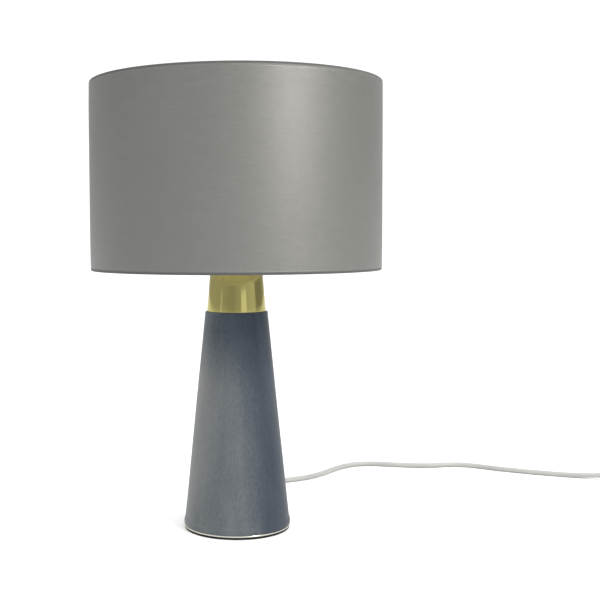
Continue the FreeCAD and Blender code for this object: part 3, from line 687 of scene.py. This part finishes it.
def fit(piece, body, node, finish):
    """Seats a finished piece on its body in place of its plain node."""
    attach(piece, body)
    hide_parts(node)
    finished(piece, finish)
    print(f"{piece.name}: {len(piece.data.polygons)} faces")
    return piece


def level(profile, steps):
    """More points on each long run of a profile, so that a shape function can bend it."""
    points = []
    for index, (here, there) in enumerate(zip(profile, profile[1:] + profile[:1])):
        points.append(here)
        if (there - here).length > steps:
            whole = int((there - here).length / steps)
            points.extend(here.lerp(there, part / (whole + 1)) for part in range(1, whole + 1))
    return points


# %% [markdown]
# The velvet is cut as one panel, wrapped round the cone and glued, with its edges turned under at the foot
# and folded over at the top. It meets itself in one upright butt seam at the back. Cloth simulation would
# find nothing to do on a glued skin, so the panel is turned like the cone and then given what glue leaves:
# a soft rounded hem, a slow unevenness of up to two tenths of a millimetre, and the groove of the seam.

# %% Velvet cover
VELVET_THICK = 1.2 * MM
CONE_HEEL = 8 * MM
TAPER = 0.1022
FOLD_RADIUS = 26.0 * MM
HEM_STANDS_OUT = 0.4 * MM
BACK = math.radians(90)


def velvet_shape(point, angle):
    """Slow unevenness, and the groove of the seam at the back."""
    radial = Vector((math.cos(angle), math.sin(angle), 0))
    if Vector((point.x, point.y)).length < FOLD_RADIUS + 0.0002:
        return point
    slow = math.sin(3 * angle + 14 * point.z) * math.sin(2 * angle - 21 * point.z + 1.3)
    from_seam = (angle - BACK) * Vector((point.x, point.y)).length
    groove = math.exp(-((from_seam / 0.0008) ** 2)) * 0.0005
    return point + radial * (slow * 0.00018 - groove)


def velvet_profile():
    foot = VELVET_FOOT
    head = VELVET_HEAD
    wall = VELVET_RADIUS
    top_radius = wall - HEM_STANDS_OUT - TAPER * (head - foot)
    heel = (wall - HEM_STANDS_OUT - TAPER * CONE_HEEL, foot + CONE_HEEL, 0.012)
    corners = [
        (wall - VELVET_THICK - 0.0006, foot, 0.0003), (wall, foot, 0.0016), (wall, foot + 0.0042, 0.004),
        heel, (top_radius, head, 0.0011), (FOLD_RADIUS, head, 0.0003), (FOLD_RADIUS, head - 0.0009, 0.0),
        (top_radius - VELVET_THICK - 0.0002, head - 0.0011, 0.0),
    ]
    return level(eased(corners, 0.001, 6), 0.004)


velvet_mesh = lathe("velvet_cone", velvet_profile(), 240, True, velvet_shape, BACK, 0.05)
velvet = fit(velvet_mesh, "base", "velvet_cover", "blue_velvet")

# %% [markdown]
# Under the velvet come a bright metal plate and a thin black pad. Only their edges show, a silver line over
# a black one, and both are turned with eased edges so that the plate catches a continuous highlight.

# %% Base plate and pad


def disc_profile(radius, foot, head, ease, steps=4):
    """Right half of a solid disc, with its outer edges eased."""
    return eased([(0.0, foot, 0), (radius, foot), (radius, head), (0.0, head, 0)], ease, steps)


pad_side = disc_profile(PAD_RADIUS, PAD_FOOT, PAD_HEAD, 0.0005)
plate_side = disc_profile(PLATE_RADIUS, PLATE_FOOT, PLATE_HEAD, 0.0009, 6)
fit(lathe("foot_pad_felt", pad_side, 192, False), "base", "foot_pad", "black_felt")
fit(lathe("bright_base_plate", plate_side, 256, False), "base", "base_plate", "bright_steel")

# %% [markdown]
# The neck is one spun cone with a flat head and a foot turned inwards. It is turned again, finer than before,
# because a polished cone shows every facet of a coarse one in its reflections.

# %% Neck
NECK_TAPER = 0.0884
SHEET = 1.2 * MM
FOOT_FLANGE = 4.0 * MM
STEM_BORE = 5.1 * MM


def neck_profile():
    foot, head = NECK_FOOT, NECK_HEAD
    top = NECK_RADIUS - NECK_TAPER * (head - foot)
    corners = [
        (NECK_RADIUS - FOOT_FLANGE, foot, 0.0002), (NECK_RADIUS, foot, 0.0006), (top, head, 0.0012),
        (STEM_BORE, head, 0.0002), (STEM_BORE, head - SHEET, 0.0), (top - SHEET, head - SHEET, 0.0006),
        (NECK_RADIUS - SHEET, foot + SHEET, 0.0), (NECK_RADIUS - FOOT_FLANGE, foot + SHEET, 0.0),
    ]
    return eased(corners, 0.0004, 5)


fit(lathe("brass_neck", neck_profile(), 320), "base", "neck_cone", "polished_brass")

# %% [markdown]
# The drum is a plastic film with satin laminated to it, rolled into a tube and glued where its ends overlap.
# A steel wire ring lies in each rim, and the satin is rolled over the wire and tucked behind it. Three things
# tell it from a plain tube. The rolled rim is part of the profile. The step of the glued overlap and a drum
# that is never quite round are moves of the lathe's points, so no modifier or simulation is needed.

# %% Satin cover and film
SATIN = 0.5 * MM
FILM = 0.8 * MM
TUCK = 5.0 * MM
TUCK_RADIUS = SHADE_RADIUS - 5.2 * MM
OVERLAP = 8.0 * MM
TRIM_JOIN = math.radians(-83.9) % math.tau


def drum_shape(point, angle):
    """The glued overlap at the back, the join of the rolled trim, and a drum a little out of round."""
    radius = math.hypot(point.x, point.y)
    radial = Vector((point.x, point.y, 0)) / radius
    edge = min(point.z - SHADE_FOOT, SHADE_HEAD - point.z)
    middle = smooth_step(edge / 0.03)
    bulge = math.sin(2 * angle + 0.7) * 0.00035 + math.sin(5 * angle + 9 * point.z) * 0.00008
    past_seam = (angle - BACK) * SHADE_RADIUS
    lap = smooth_step((past_seam + 0.0006) / 0.0008) * (1 - smooth_step((past_seam - OVERLAP) / 0.0025))
    join = math.exp(-(((angle - TRIM_JOIN) * SHADE_RADIUS / 0.0009) ** 2)) * (1 - smooth_step(edge / 0.004))
    outside = 1.0 if radius > SHADE_RADIUS - 0.0012 else 0.0
    return point + radial * (bulge * middle + outside * (lap * 0.00035 - join * 0.0004))


def satin_profile():
    foot, head, wall, tuck = SHADE_FOOT, SHADE_HEAD, SHADE_RADIUS, TUCK_RADIUS
    outside = [
        (wall - 0.0002, foot, 0.0021), (wall, foot + 0.0030, 0.001), (wall - 0.00012, foot + 0.0036, 0.0006),
        (wall, foot + 0.0046, 0.001), (wall, head - 0.0046, 0.001), (wall - 0.00012, head - 0.0036, 0.0006),
        (wall, head - 0.0030, 0.001), (wall - 0.0002, head, 0.0021),
    ]
    upper_tuck = [
        (tuck, head, 0.0016), (tuck, head - TUCK, 0.0002), (tuck + SATIN, head - TUCK, 0.0002),
        (tuck + SATIN, head - SATIN, 0.0011),
    ]
    inside = [(wall - SATIN, head - SATIN, 0.0016), (wall - SATIN, foot + SATIN, 0.0016)]
    lower_tuck = [
        (tuck + SATIN, foot + SATIN, 0.0011), (tuck + SATIN, foot + TUCK, 0.0002),
        (tuck, foot + TUCK, 0.0002), (tuck, foot, 0.0016),
    ]
    return level(eased(outside + upper_tuck + inside + lower_tuck, 0.001, 6), 0.006)


def film_profile():
    outer, inner = SHADE_RADIUS - SATIN, SHADE_RADIUS - SATIN - FILM
    low, high = SHADE_FOOT + 0.0024, SHADE_HEAD - 0.0024
    corners = [(inner, low), (outer, low), (outer, high), (inner, high)]
    return level(eased(corners, 0.00025, 3), 0.006)


satin_mesh = lathe("satin_drum", satin_profile(), 288, True, drum_shape, BACK, 0.08)
satin = fit(satin_mesh, "shade", "shade_fabric", "grey_satin")
film_mesh = lathe("shade_film", film_profile(), 240, True, drum_shape)
fit(film_mesh, "shade", "shade_liner", "shade_liner")

# %% [markdown]
# Screw threads are what make a fitting look machined instead of moulded. A lathe alone gives rings, so the
# points are also moved in or out by how far they are round the axis: one pitch up for one turn round makes a
# true helix, and it fades out before the ends as a rolled thread does.

# %% Threads
BULB_PITCH = 3.63 * MM
SKIRT_PITCH = 2.5 * MM


def threaded(crest, depth, pitch, low, high):
    """A shape function that rolls a thread into the wall at the crest radius, between two heights."""

    def shape(point, angle):
        radius = math.hypot(point.x, point.y)
        if abs(radius - crest) > 0.0001 or not low <= point.z <= high:
            return point
        wave = 0.5 - 0.5 * math.cos(math.tau * point.z / pitch - angle)
        fade = smooth_step((point.z - low) / pitch) * smooth_step((high - point.z) / pitch)
        inwards = depth * wave * fade
        return Vector((point.x * (1 - inwards / radius), point.y * (1 - inwards / radius), point.z))

    return shape


HOLDER_WALL_RADIUS, HOLDER_FOOT, HOLDER_WALL_HEAD = span("holder_cap")
FLANGE_RADIUS, FLANGE_FOOT, SKIRT_HEAD = span("holder_skirt")
SKIRT_CREST = 19.9 * MM
SKIRT_BORE = 16.8 * MM
FLANGE_HEAD = FLANGE_FOOT + 3.0 * MM


def skirt_profile():
    corners = [
        (SKIRT_BORE, FLANGE_FOOT), (FLANGE_RADIUS, FLANGE_FOOT), (FLANGE_RADIUS, FLANGE_HEAD),
        (SKIRT_CREST, FLANGE_HEAD, 0.0002), (SKIRT_CREST, SKIRT_HEAD, 0.0007),
        (SKIRT_BORE, SKIRT_HEAD, 0.0004),
    ]
    return level(eased(corners, 0.0005), 0.00032)


def cap_profile():
    foot, wall = HOLDER_FOOT, HOLDER_WALL_RADIUS
    corners = [
        (0.00505, foot, 0.0002), (0.0085, foot, 0.0006), (0.0085, foot + 0.006, 0.0015),
        (0.013, foot + 0.009, 0.003), (0.0172, foot + 0.013, 0.004), (wall, foot + 0.017, 0.004),
        (wall, HOLDER_WALL_HEAD, 0.0004),
        (wall - 0.002, HOLDER_WALL_HEAD, 0.0002), (wall - 0.002, foot + 0.017, 0.003),
        (0.0152, foot + 0.014, 0.002), (0.0115, foot + 0.0105, 0.001), (0.00505, foot + 0.009, 0.0002),
    ]
    return eased(corners, 0.0005)


skirt_thread = threaded(SKIRT_CREST, 0.0007, SKIRT_PITCH, FLANGE_HEAD + 0.0004, SKIRT_HEAD - 0.0008)
skirt_mesh = lathe("holder_skirt_threaded", skirt_profile(), 120, True, skirt_thread)
fit(skirt_mesh, "base", "holder_skirt", "gloss_white")
fit(lathe("holder_dome", cap_profile(), 128), "base", "holder_cap", "gloss_white")

# %% [markdown]
# The shade stands on the flange of the holder by a pressed steel ring, and a moulded ring screws down on top
# of it. The moulded one has twelve finger ribs, which are bumps of its outer wall that end just under its
# top.

# %% Fitter ring and clamp ring
_, RING_FOOT, RING_HEAD = span("shade_clamp_ring")
RING_BORE, RING_WALL, RING_LIP = 20.0 * MM, 23.0 * MM, 26.0 * MM
_, FITTER_FOOT, FITTER_HEAD = span("fitter_ring")
FITTER_RADIUS = 29.0 * MM
RIBS = 12


def ribbed(point, angle):
    """Finger ribs on the wall of the clamp ring."""
    radius = math.hypot(point.x, point.y)
    if not RING_WALL - 0.0008 < radius < RING_WALL + 0.0008 or point.z < RING_FOOT + 0.0021:
        return point
    near = (angle * RIBS / math.tau + 0.5) % 1.0 - 0.5
    rib = math.exp(-((near * math.tau * RING_WALL / RIBS / 0.0015) ** 2))
    height = 1 - smooth_step((point.z - RING_HEAD + 0.0018) / 0.0010)
    grown = 1 + 0.0014 * rib * height / radius
    return Vector((point.x * grown, point.y * grown, point.z))


def clamp_profile():
    corners = [
        (RING_BORE, RING_FOOT), (RING_LIP, RING_FOOT, 0.0005), (RING_LIP, RING_FOOT + 0.002, 0.0005),
        (RING_WALL, RING_FOOT + 0.002, 0.0006), (RING_WALL, RING_HEAD, 0.0008),
        (RING_BORE, RING_HEAD, 0.0005),
    ]
    return level(eased(corners, 0.0004), 0.0006)


def fitter_profile():
    low, high = FITTER_FOOT, FITTER_HEAD
    corners = [
        (0.0209, low), (FITTER_RADIUS, low), (FITTER_RADIUS, high), (0.0274, high), (0.0268, high - 0.0004),
        (0.0236, high - 0.0004), (0.0230, high), (0.0209, high),
    ]
    return eased(corners, 0.0004)


clamp_mesh = lathe("ribbed_clamp_ring", clamp_profile(), 288, True, ribbed)
fit(clamp_mesh, "clamp_ring", "shade_clamp_ring", "gloss_white")
fit(lathe("pressed_fitter_ring", fitter_profile(), 128), "shade", "fitter_ring", "white_steel")

# %% [markdown]
# The bulb has three parts that show: a nickelled screw cap with a rolled thread, a white plastic collar and
# an opal globe. The globe is a shell with real thickness, so its rim sits in the collar as the moulded one
# does.

# %% Bulb
CAP_RADIUS, CAP_FOOT, CAP_HEAD = span("bulb_cap")
GLOBE_RADIUS, GLOBE_RIM, GLOBE_TOP = span("bulb_globe")
COLLAR_RADIUS, _, COLLAR_HEAD = span("bulb_collar")
GLOBE_CENTRE = GLOBE_TOP - GLOBE_RADIUS
GLASS = 1.2 * MM


def screw_profile():
    foot, head = CAP_FOOT, CAP_HEAD
    corners = [
        (0.0097, foot), (0.0106, foot, 0.001), (CAP_RADIUS, foot + 0.0026, 0.0012),
        (CAP_RADIUS, head, 0.0004), (0.0117, head, 0.0002), (0.0117, foot + 0.003, 0.0004),
        (0.0097, foot + 0.0021, 0.0002),
    ]
    return level(eased(corners, 0.0003), 0.0004)


def collar_profile():
    seat = CAP_HEAD
    corners = [
        (0.0108, seat - 0.006), (0.0116, seat - 0.006), (0.0116, seat + 0.0001, 0.0001),
        (0.0136, seat + 0.0001), (0.0144, seat + 0.004, 0.006), (0.0192, seat + 0.020, 0.02),
        (COLLAR_RADIUS, COLLAR_HEAD, 0.0006), (COLLAR_RADIUS - 0.0024, COLLAR_HEAD, 0.0004),
        (0.0168, seat + 0.020, 0.01), (0.0126, seat + 0.005, 0.003), (0.0108, seat + 0.001, 0.0005),
    ]
    return eased(corners, 0.0003, 8)


def globe_profile():
    """Outside of the globe from its rim to its crown, then back down the inside."""
    points = []
    for radius, order in ((GLOBE_RADIUS, 1), (GLOBE_RADIUS - GLASS, -1)):
        start = math.asin((GLOBE_RIM - GLOBE_CENTRE) / radius)
        arc = [start + (math.pi / 2 - start) * step / 40 for step in range(41)]
        points.extend((radius * math.cos(a), GLOBE_CENTRE + radius * math.sin(a)) for a in arc[::order])
    return points


cap_thread = threaded(CAP_RADIUS, 0.0009, BULB_PITCH, CAP_FOOT + 0.0032, CAP_HEAD - 0.0006)
fit(lathe("bulb_screw_cap", screw_profile(), 120, True, cap_thread), "bulb", "bulb_cap", "nickel")
fit(lathe("bulb_shoulder", collar_profile(), 128), "bulb", "bulb_collar", "white_plastic")
fit(lathe("opal_globe", globe_profile(), 144), "bulb", "bulb_globe", "opal")

# %% [markdown]
# The lead leaves through a rubber sleeve that tapers, so a pull never bends it at one place. It is turned on
# the lathe like the rest and then laid on its side, pointing out of the back. Its flange is pressed into the
# pile, and four grooves make its root flexible.

# %% Strain relief
SLEEVE_LOW, SLEEVE_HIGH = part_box("cord_gland")
EXIT_HEIGHT = 20.0 * MM
SLEEVE_TIP = SLEEVE_HIGH.y
SLEEVE_ROOT = VELVET_RADIUS - HEM_STANDS_OUT - TAPER * EXIT_HEIGHT
GLAND_RADIUS = (SLEEVE_HIGH.x - SLEEVE_LOW.x) / 2


def sleeve_profile():
    """Radius and distance from the lamp's axis: bore, stub, flange, grooved taper."""
    bore = 0.00305
    corners = [(bore, SLEEVE_LOW.y), (0.005, SLEEVE_LOW.y), (0.005, SLEEVE_ROOT - 0.0012, 0)]
    corners += [(GLAND_RADIUS, SLEEVE_ROOT - 0.0016), (GLAND_RADIUS, SLEEVE_ROOT + 0.0026, 0.0009)]
    corners += [(0.0061, SLEEVE_ROOT + 0.0028, 0.0006)]
    for groove in range(4):
        place = SLEEVE_ROOT + 0.008 + 0.0045 * groove
        skin = 0.0058 - 0.00033 * groove
        corners += [(skin, place, 0.0003), (skin - 0.0009, place + 0.0001, 0.0002)]
        corners += [(skin - 0.0010, place + 0.0011, 0.0002), (skin - 0.00008, place + 0.0012, 0.0003)]
    corners += [(0.0039, SLEEVE_TIP - 0.001, 0.0006), (0.0035, SLEEVE_TIP, 0.0003)]
    corners += [(bore, SLEEVE_TIP, 0.0001)]
    return eased(corners, 0.0003, 3)


sleeve = lathe("tapered_sleeve", sleeve_profile(), 72)
out_of_the_back = Matrix.Translation((0, 0, EXIT_HEIGHT)) @ Matrix.Rotation(math.radians(-90), 4, "X")
sleeve.data.transform(out_of_the_back)
fit(sleeve, "base", "cord_gland", "white_rubber")
print(f"sleeve from y {1000 * SLEEVE_LOW.y:.1f} to {1000 * SLEEVE_TIP:.1f} mm")

# %% [markdown]
# Moulded boxes such as the switch and the plug are lofts. Each ring is a rectangle with rounded corners, and
# every ring has the same number of points, so neighbouring rings join into faces by themselves. Where the
# rings run up the inside and over the rim, the moulding gets its true wall thickness.

# %% Lofted mouldings
CORNER_POINTS = 7


def outline(length, width, corner, height):
    """Rounded rectangle at a height, as a ring of points."""
    ring = []
    for quarter, (along, across) in enumerate(((1, 1), (-1, 1), (-1, -1), (1, -1))):
        middle = Vector((along * (length / 2 - corner), across * (width / 2 - corner), height))
        for step in range(CORNER_POINTS):
            angle = math.radians(90) * (quarter + step / (CORNER_POINTS - 1))
            ring.append(middle + Vector((math.cos(angle), math.sin(angle), 0)) * corner)
    return ring


def stacked(name, sizes, place, closed=False):
    """Loft through rounded rectangles given in millimetres; its ends are capped unless the loft is closed."""
    rings = [[place @ (point * MM) for point in outline(*size)] for size in sizes]
    count = len(rings[0])
    vertices = [point for ring in rings for point in ring]
    faces = []
    for index in range(len(rings) if closed else len(rings) - 1):
        here, there = index * count, (index + 1) % len(rings) * count
        for step in range(count):
            ahead = (step + 1) % count
            faces.append((here + step, here + ahead, there + ahead, there + step))
    if not closed:
        faces.append(tuple(range(count))[::-1])
        faces.append(tuple(range((len(rings) - 1) * count, len(rings) * count)))
    return linked(name, vertices, faces, 40.0)


def rim(length, width, corner, height, radius, rise, steps=5):
    """Rings that round an edge over, from the wall to the face; rise is 1 upwards and -1 downwards."""
    rings = []
    for step in range(steps + 1):
        angle = math.radians(90) * step / steps
        inset = radius * (1 - math.cos(angle))
        lift = rise * radius * math.sin(angle)
        rings.append((length - 2 * inset, width - 2 * inset, max(corner - inset, 0.3), height + lift))
    return rings


# %% [markdown]
# The switch on the lead is a two-part moulding with a rocker. The halves meet in an eased parting line, which
# is the thin shadow that every such switch has round its middle. The rocker is an extruded side view with a
# hollow for the finger on each side of its pivot, and all its edges are bevelled.

# %% Switch
SWITCH_LENGTH, SWITCH_WIDTH, SWITCH_HEIGHT, SWITCH_SPLIT = 64.0, 27.0, 17.0, 7.0
SWITCH_TURN = math.radians(-12.0)
switch_place = Matrix.Translation((0.497, 0.188, 0)) @ Matrix.Rotation(SWITCH_TURN, 4, "Z")

lower_rings = [(58, 21, 6, 2.0), (60, 23, 7, 3.0), (60, 23, 7, SWITCH_SPLIT)]
lower_rings += [(SWITCH_LENGTH - 0.6, SWITCH_WIDTH - 0.6, 8.7, SWITCH_SPLIT)]
lower_rings += [(SWITCH_LENGTH, SWITCH_WIDTH, 9, SWITCH_SPLIT - 0.4)]
lower_rings += rim(SWITCH_LENGTH, SWITCH_WIDTH, 9, 1.2, 1.2, -1)
upper_rings = [(60, 23, 7, SWITCH_SPLIT + 0.1)]
upper_rings += [(SWITCH_LENGTH - 0.6, SWITCH_WIDTH - 0.6, 8.7, SWITCH_SPLIT + 0.1)]
upper_rings += [(SWITCH_LENGTH, SWITCH_WIDTH, 9, SWITCH_SPLIT + 0.5)]
upper_rings += rim(SWITCH_LENGTH, SWITCH_WIDTH, 9, SWITCH_HEIGHT - 2.4, 2.4, 1)
upper_rings += [(28, 18, 3.5, SWITCH_HEIGHT), (24.4, 15.5, 2.0, SWITCH_HEIGHT - 0.5)]
upper_rings += [(22.4, 13.5, 1.1, SWITCH_HEIGHT - 0.5), (21.8, 12.9, 0.8, SWITCH_HEIGHT - 0.9)]
upper_rings += [(21.8, 12.9, 0.8, 13.0), (26, 17, 2, 13.0), (26, 17, 2, 15.0), (60, 23, 7, 15.0)]
fit(stacked("switch_underside", lower_rings, switch_place), "base", "switch_lower", "white_plastic")
fit(stacked("switch_cover", upper_rings, switch_place, True), "base", "switch_upper", "white_plastic")

ROCKER_HALF = 10.0
ROCKER_WIDTH = 12.0
ROCKER_TILT = math.radians(8.0)
ROCKER_PIVOT = 12.5


def rocker_side():
    """Side view of the rocker, with two shallow finger hollows."""
    rise = math.tan(ROCKER_TILT) * ROCKER_HALF
    top = []
    for step in range(17):
        along = ROCKER_HALF - 2 * ROCKER_HALF * step / 16
        part = abs(along) / ROCKER_HALF
        top.append((along, 16.2 + rise * part - 0.45 * math.sin(math.pi * part)))
    return [(-ROCKER_HALF, 10.9), (ROCKER_HALF, 10.9)] + top


def bevelled(name, side, width, place, ease):
    """Extrudes a side view across its width and bevels every edge."""
    shaper = bmesh.new()
    near = [shaper.verts.new(Vector((along, -width / 2, up)) * MM) for along, up in side]
    far = [shaper.verts.new(Vector((along, width / 2, up)) * MM) for along, up in side]
    shaper.faces.new(near)
    shaper.faces.new(far[::-1])
    for index in range(len(side)):
        ahead = (index + 1) % len(side)
        shaper.faces.new((near[index], far[index], far[ahead], near[ahead]))
    bmesh.ops.recalc_face_normals(shaper, faces=shaper.faces)
    sharp = [edge for edge in shaper.edges if edge.calc_face_angle(0) > math.radians(30)]
    bmesh.ops.bevel(shaper, geom=sharp, offset=ease * MM, segments=3, profile=0.5, affect="EDGES")
    shaper.transform(place)
    return placed(name, shaper, 40.0)


tip_up = Matrix.Translation((0, 0, ROCKER_PIVOT * MM)) @ Matrix.Rotation(ROCKER_TILT, 4, "Y")
tip_up = tip_up @ Matrix.Translation((0, 0, -ROCKER_PIVOT * MM))
rocker = bevelled("rocker_key", rocker_side(), ROCKER_WIDTH, switch_place @ tip_up, 0.5)
fit(rocker, "rocker", "switch_rocker", "gloss_white")

# %% [markdown]
# The plug is a flat two-pin moulding. It is lofted along its own axis, from the thin ribbed sleeve round the
# lead to the straight face that carries the pins. The pins themselves stay as the frame has them.

# %% Plug
plug_place = Matrix.Translation(tail_end * MM) @ Matrix.Rotation(PLUG_HEADING, 4, "Z")
plug_place = plug_place @ Matrix.Rotation(math.radians(90), 4, "Y")
plug_rings = [(7.2, 7.2, 3.6, 0.0), (7.8, 7.8, 3.9, 0.5)]
for groove in range(3):
    along = 3.2 + 3.6 * groove
    size = 7.8 + 0.19 * along
    plug_rings += [(size, size, size / 2, along), (size - 1.4, size - 1.4, size / 2 - 0.7, along + 0.3)]
    plug_rings += [(size - 1.3, size - 1.3, size / 2 - 0.65, along + 1.3)]
    plug_rings += [(size + 0.3, size + 0.3, size / 2 + 0.15, along + 1.6)]
plug_rings += [(10.8, 10.8, 5.4, 15.5), (11.6, 13.2, 5.6, 17.5), (12.8, 17.4, 5.6, 21.0)]
plug_rings += [(13.3, 24.5, 5.2, 26.5), (13.6, 32.0, 4.6, 32.0), (13.6, 34.6, 4.2, 35.0)]
plug_rings += [(13.6, 35.2, 4.0, 37.5), (13.6, 35.2, 4.0, 48.8)]
plug_rings += [(13.2, 34.8, 3.8, 49.6), (12.4, 34.0, 3.4, 50.0)]
fit(stacked("flat_plug", plug_rings, plug_place), "base", "plug_body", "white_plastic")

# %% [markdown]
# A black hook-and-loop band holds the coil of spare lead. It goes once round the five turns, so it is a
# closed loft: a rounded rectangle seen from the side, with a near edge, a far edge and a thickness.

# %% Band round the coil
TIE_ANGLE = math.radians(165.0)
TIE_WIDTH = 9.0
TIE_THICK = 0.7
TIE_MIDDLE, TIE_LENGTH, TIE_HEIGHT = (34.2, 5.7), 19.0, 11.4
band_place = Matrix.Translation(COIL_MIDDLE * MM) @ Matrix.Rotation(TIE_ANGLE, 4, "Z")
band_place = band_place @ Matrix.Translation((TIE_MIDDLE[0] * MM, 0, TIE_MIDDLE[1] * MM))
band_place = band_place @ Matrix.Rotation(math.radians(90), 4, "X")
outer = (TIE_LENGTH, TIE_HEIGHT, 3.4)
inner = (TIE_LENGTH - 2 * TIE_THICK, TIE_HEIGHT - 2 * TIE_THICK, 2.7)
softer = (TIE_LENGTH - 0.3, TIE_HEIGHT - 0.3, 3.25)
band_rings = [(*inner, -TIE_WIDTH / 2), (*softer, -TIE_WIDTH / 2), (*outer, -TIE_WIDTH / 2 + 0.2)]
band_rings += [(*outer, TIE_WIDTH / 2 - 0.2), (*softer, TIE_WIDTH / 2), (*inner, TIE_WIDTH / 2)]
fit(stacked("coil_band", band_rings, band_place, True), "base", "coil_tie", "black_felt")

# %% [markdown]
# Everything that is left is hardware whose shape in the frame is already right: the ballast, the nuts, the
# screws, the terminals, the wires of the shade. Each keeps its shape and takes the finish of its own slot.

# %% Finishes for the rest of the frame
slots = {part["node"]: part["material_slot"] for part in frame["record"]["subparts"]}
kept = [node for node in frame["nodes"].values() if not node.hide_render]
for node in kept:
    for slot in node.material_slots:
        slot.material = FINISHES[slots[node.name]]
print(len(kept), "pieces of the frame keep their shape")

# %% [markdown]
# The pieces that ride on the lead are listed last: the sleeve where it leaves the lamp, the switch, the band
# round the coil and the plug.

on_the_lead = ["tapered_sleeve", "coil_band", "switch_underside", "switch_cover", "switch_screws"]
on_the_lead += ["rocker_key", "flat_plug", "plug_pins"]

# %% [markdown]
# The studio is a white floor, which the lamp stands on and which casts light up under the shade. It is paint
# with a faint unevenness, not a flat colour.

# %% Floor
floor_mesh = bpy.data.meshes.new("studio_floor")
REACH = 8.0
floor_corners = [(-REACH, -REACH, 0), (REACH, -REACH, 0), (REACH, REACH, 0), (-REACH, REACH, 0)]
floor_mesh.from_pydata(floor_corners, [], [(0, 1, 2, 3)])
floor = bpy.data.objects.new("studio_floor", floor_mesh)
bpy.context.collection.objects.link(floor)
paint = Finish("floor_paint")
paint.feed("Base Color", paint.mix((0.90, 0.90, 0.90, 1), (0.92, 0.92, 0.92, 1), paint.grain(3.0)))
paint.feed("Roughness", 0.75 + paint.grain(9.0) * 0.2)
floor.data.materials.append(paint.material)

# %% [markdown]
# Polished metal shows only what stands round it, so the sky is drawn as a real room would be. It is
# brightest overhead. Round the horizon it is moderate, brighter to the right of the camera, and darkest in
# a gap farther round to the right. The camera itself sees plain white. One soft box high on the right makes
# the satin shine, and two low cards put small lights in the neck.

# %% Sky and soft boxes
SKY = 1.12
OVERHEAD = 1.66
LAMP_MIDDLE = 0.25
HORIZON = [
    (-180, 0.62), (-150, 0.58), (-128, 0.56), (-108, 0.62), (-55, 0.58), (-25, 0.50), (-6, 0.50), (-3, 0.58),
    (15, 0.62), (32, 0.68), (60, 0.80), (78, 0.84), (86, 0.36), (122, 0.38), (145, 0.58), (180, 0.62),
]


def studio_sky():
    """White sky for the camera; as light it is bright overhead and follows the room round the horizon."""
    world = bpy.data.worlds.new("studio_sky")
    world.use_nodes = True
    tree = world.node_tree
    bpy.context.scene.world = world

    def node(kind, settings, links, out=0):
        made = tree.nodes.new(kind)
        for key, value in settings.items():
            if key == "stops":
                Finish.set_stops(made.color_ramp, value)
            else:
                setattr(made, key, value)
        for key, value in links.items():
            if isinstance(value, bpy.types.NodeSocket):
                tree.links.new(value, made.inputs[key])
            else:
                made.inputs[key].default_value = value
        return made.outputs[out]

    def maths(operation, *values):
        return node("ShaderNodeMath", {"operation": operation}, dict(enumerate(values)))

    direction = node("ShaderNodeTexCoord", {}, {}, "Generated")
    parts = node("ShaderNodeSeparateXYZ", {}, {0: direction}).node.outputs
    azimuth = maths("ARCTAN2", parts[0], maths("MULTIPLY", parts[1], -1.0))
    stops = [((turn + 180) / 360, (share,) * 3) for turn, share in HORIZON]
    whole_turn = {0: azimuth, 1: -math.pi, 2: math.pi, 3: 0.0, 4: 1.0}
    room = node("ShaderNodeValToRGB", {"stops": stops}, {0: node("ShaderNodeMapRange", {}, whole_turn)})
    climb = node("ShaderNodeMapRange", {"interpolation_type": "SMOOTHSTEP"}, {0: parts[2], 1: 0.35, 2: 0.8})
    dome = node("ShaderNodeMix", {"data_type": "RGBA"}, {0: climb, 6: room, 7: (OVERHEAD,) * 3 + (1,)}, 2)
    seen = node("ShaderNodeLightPath", {}, {}, "Is Camera Ray")
    shown = node("ShaderNodeMix", {"data_type": "RGBA"}, {0: seen, 6: dome, 7: (1, 1, 1, 1)}, 2)
    background = tree.nodes["Background"]
    tree.links.new(shown, background.inputs[0])
    background.inputs[1].default_value = SKY


def soft_box(name, azimuth, distance, height, size, watts, warmth=(1.0, 1.0, 1.0)):
    """Rectangular lamp at an angle to the right of the camera, aimed at the lamp's middle."""
    data = bpy.data.lights.new(name, "AREA")
    data.shape = "RECTANGLE"
    data.size, data.size_y = size
    data.energy = watts
    data.color = warmth
    lamp = bpy.data.objects.new(name, data)
    turn = math.radians(azimuth)
    lamp.location = (distance * math.sin(turn), -distance * math.cos(turn), height)
    aim = Vector((0, 0, LAMP_MIDDLE)) - lamp.location
    lamp.rotation_euler = aim.to_track_quat("-Z", "Y").to_euler()
    bpy.context.collection.objects.link(lamp)


studio_sky()
soft_box("key_box", 42.0, 1.5, 1.07, (0.40, 0.80), 18.8, (1.0, 0.965, 0.92))
soft_box("low_card_right", 29.0, 1.5, 0.29, (0.56, 0.18), 0.21)
soft_box("low_card_left", -62.0, 1.5, 0.26, (0.18, 0.16), 0.036)
bpy.context.scene.view_settings.view_transform = "Standard"
print("sky", SKY, "and one soft box with two low cards")

# %% [markdown]
# Last, the scene is brought up to date.

# %% Close
bpy.context.view_layer.update()
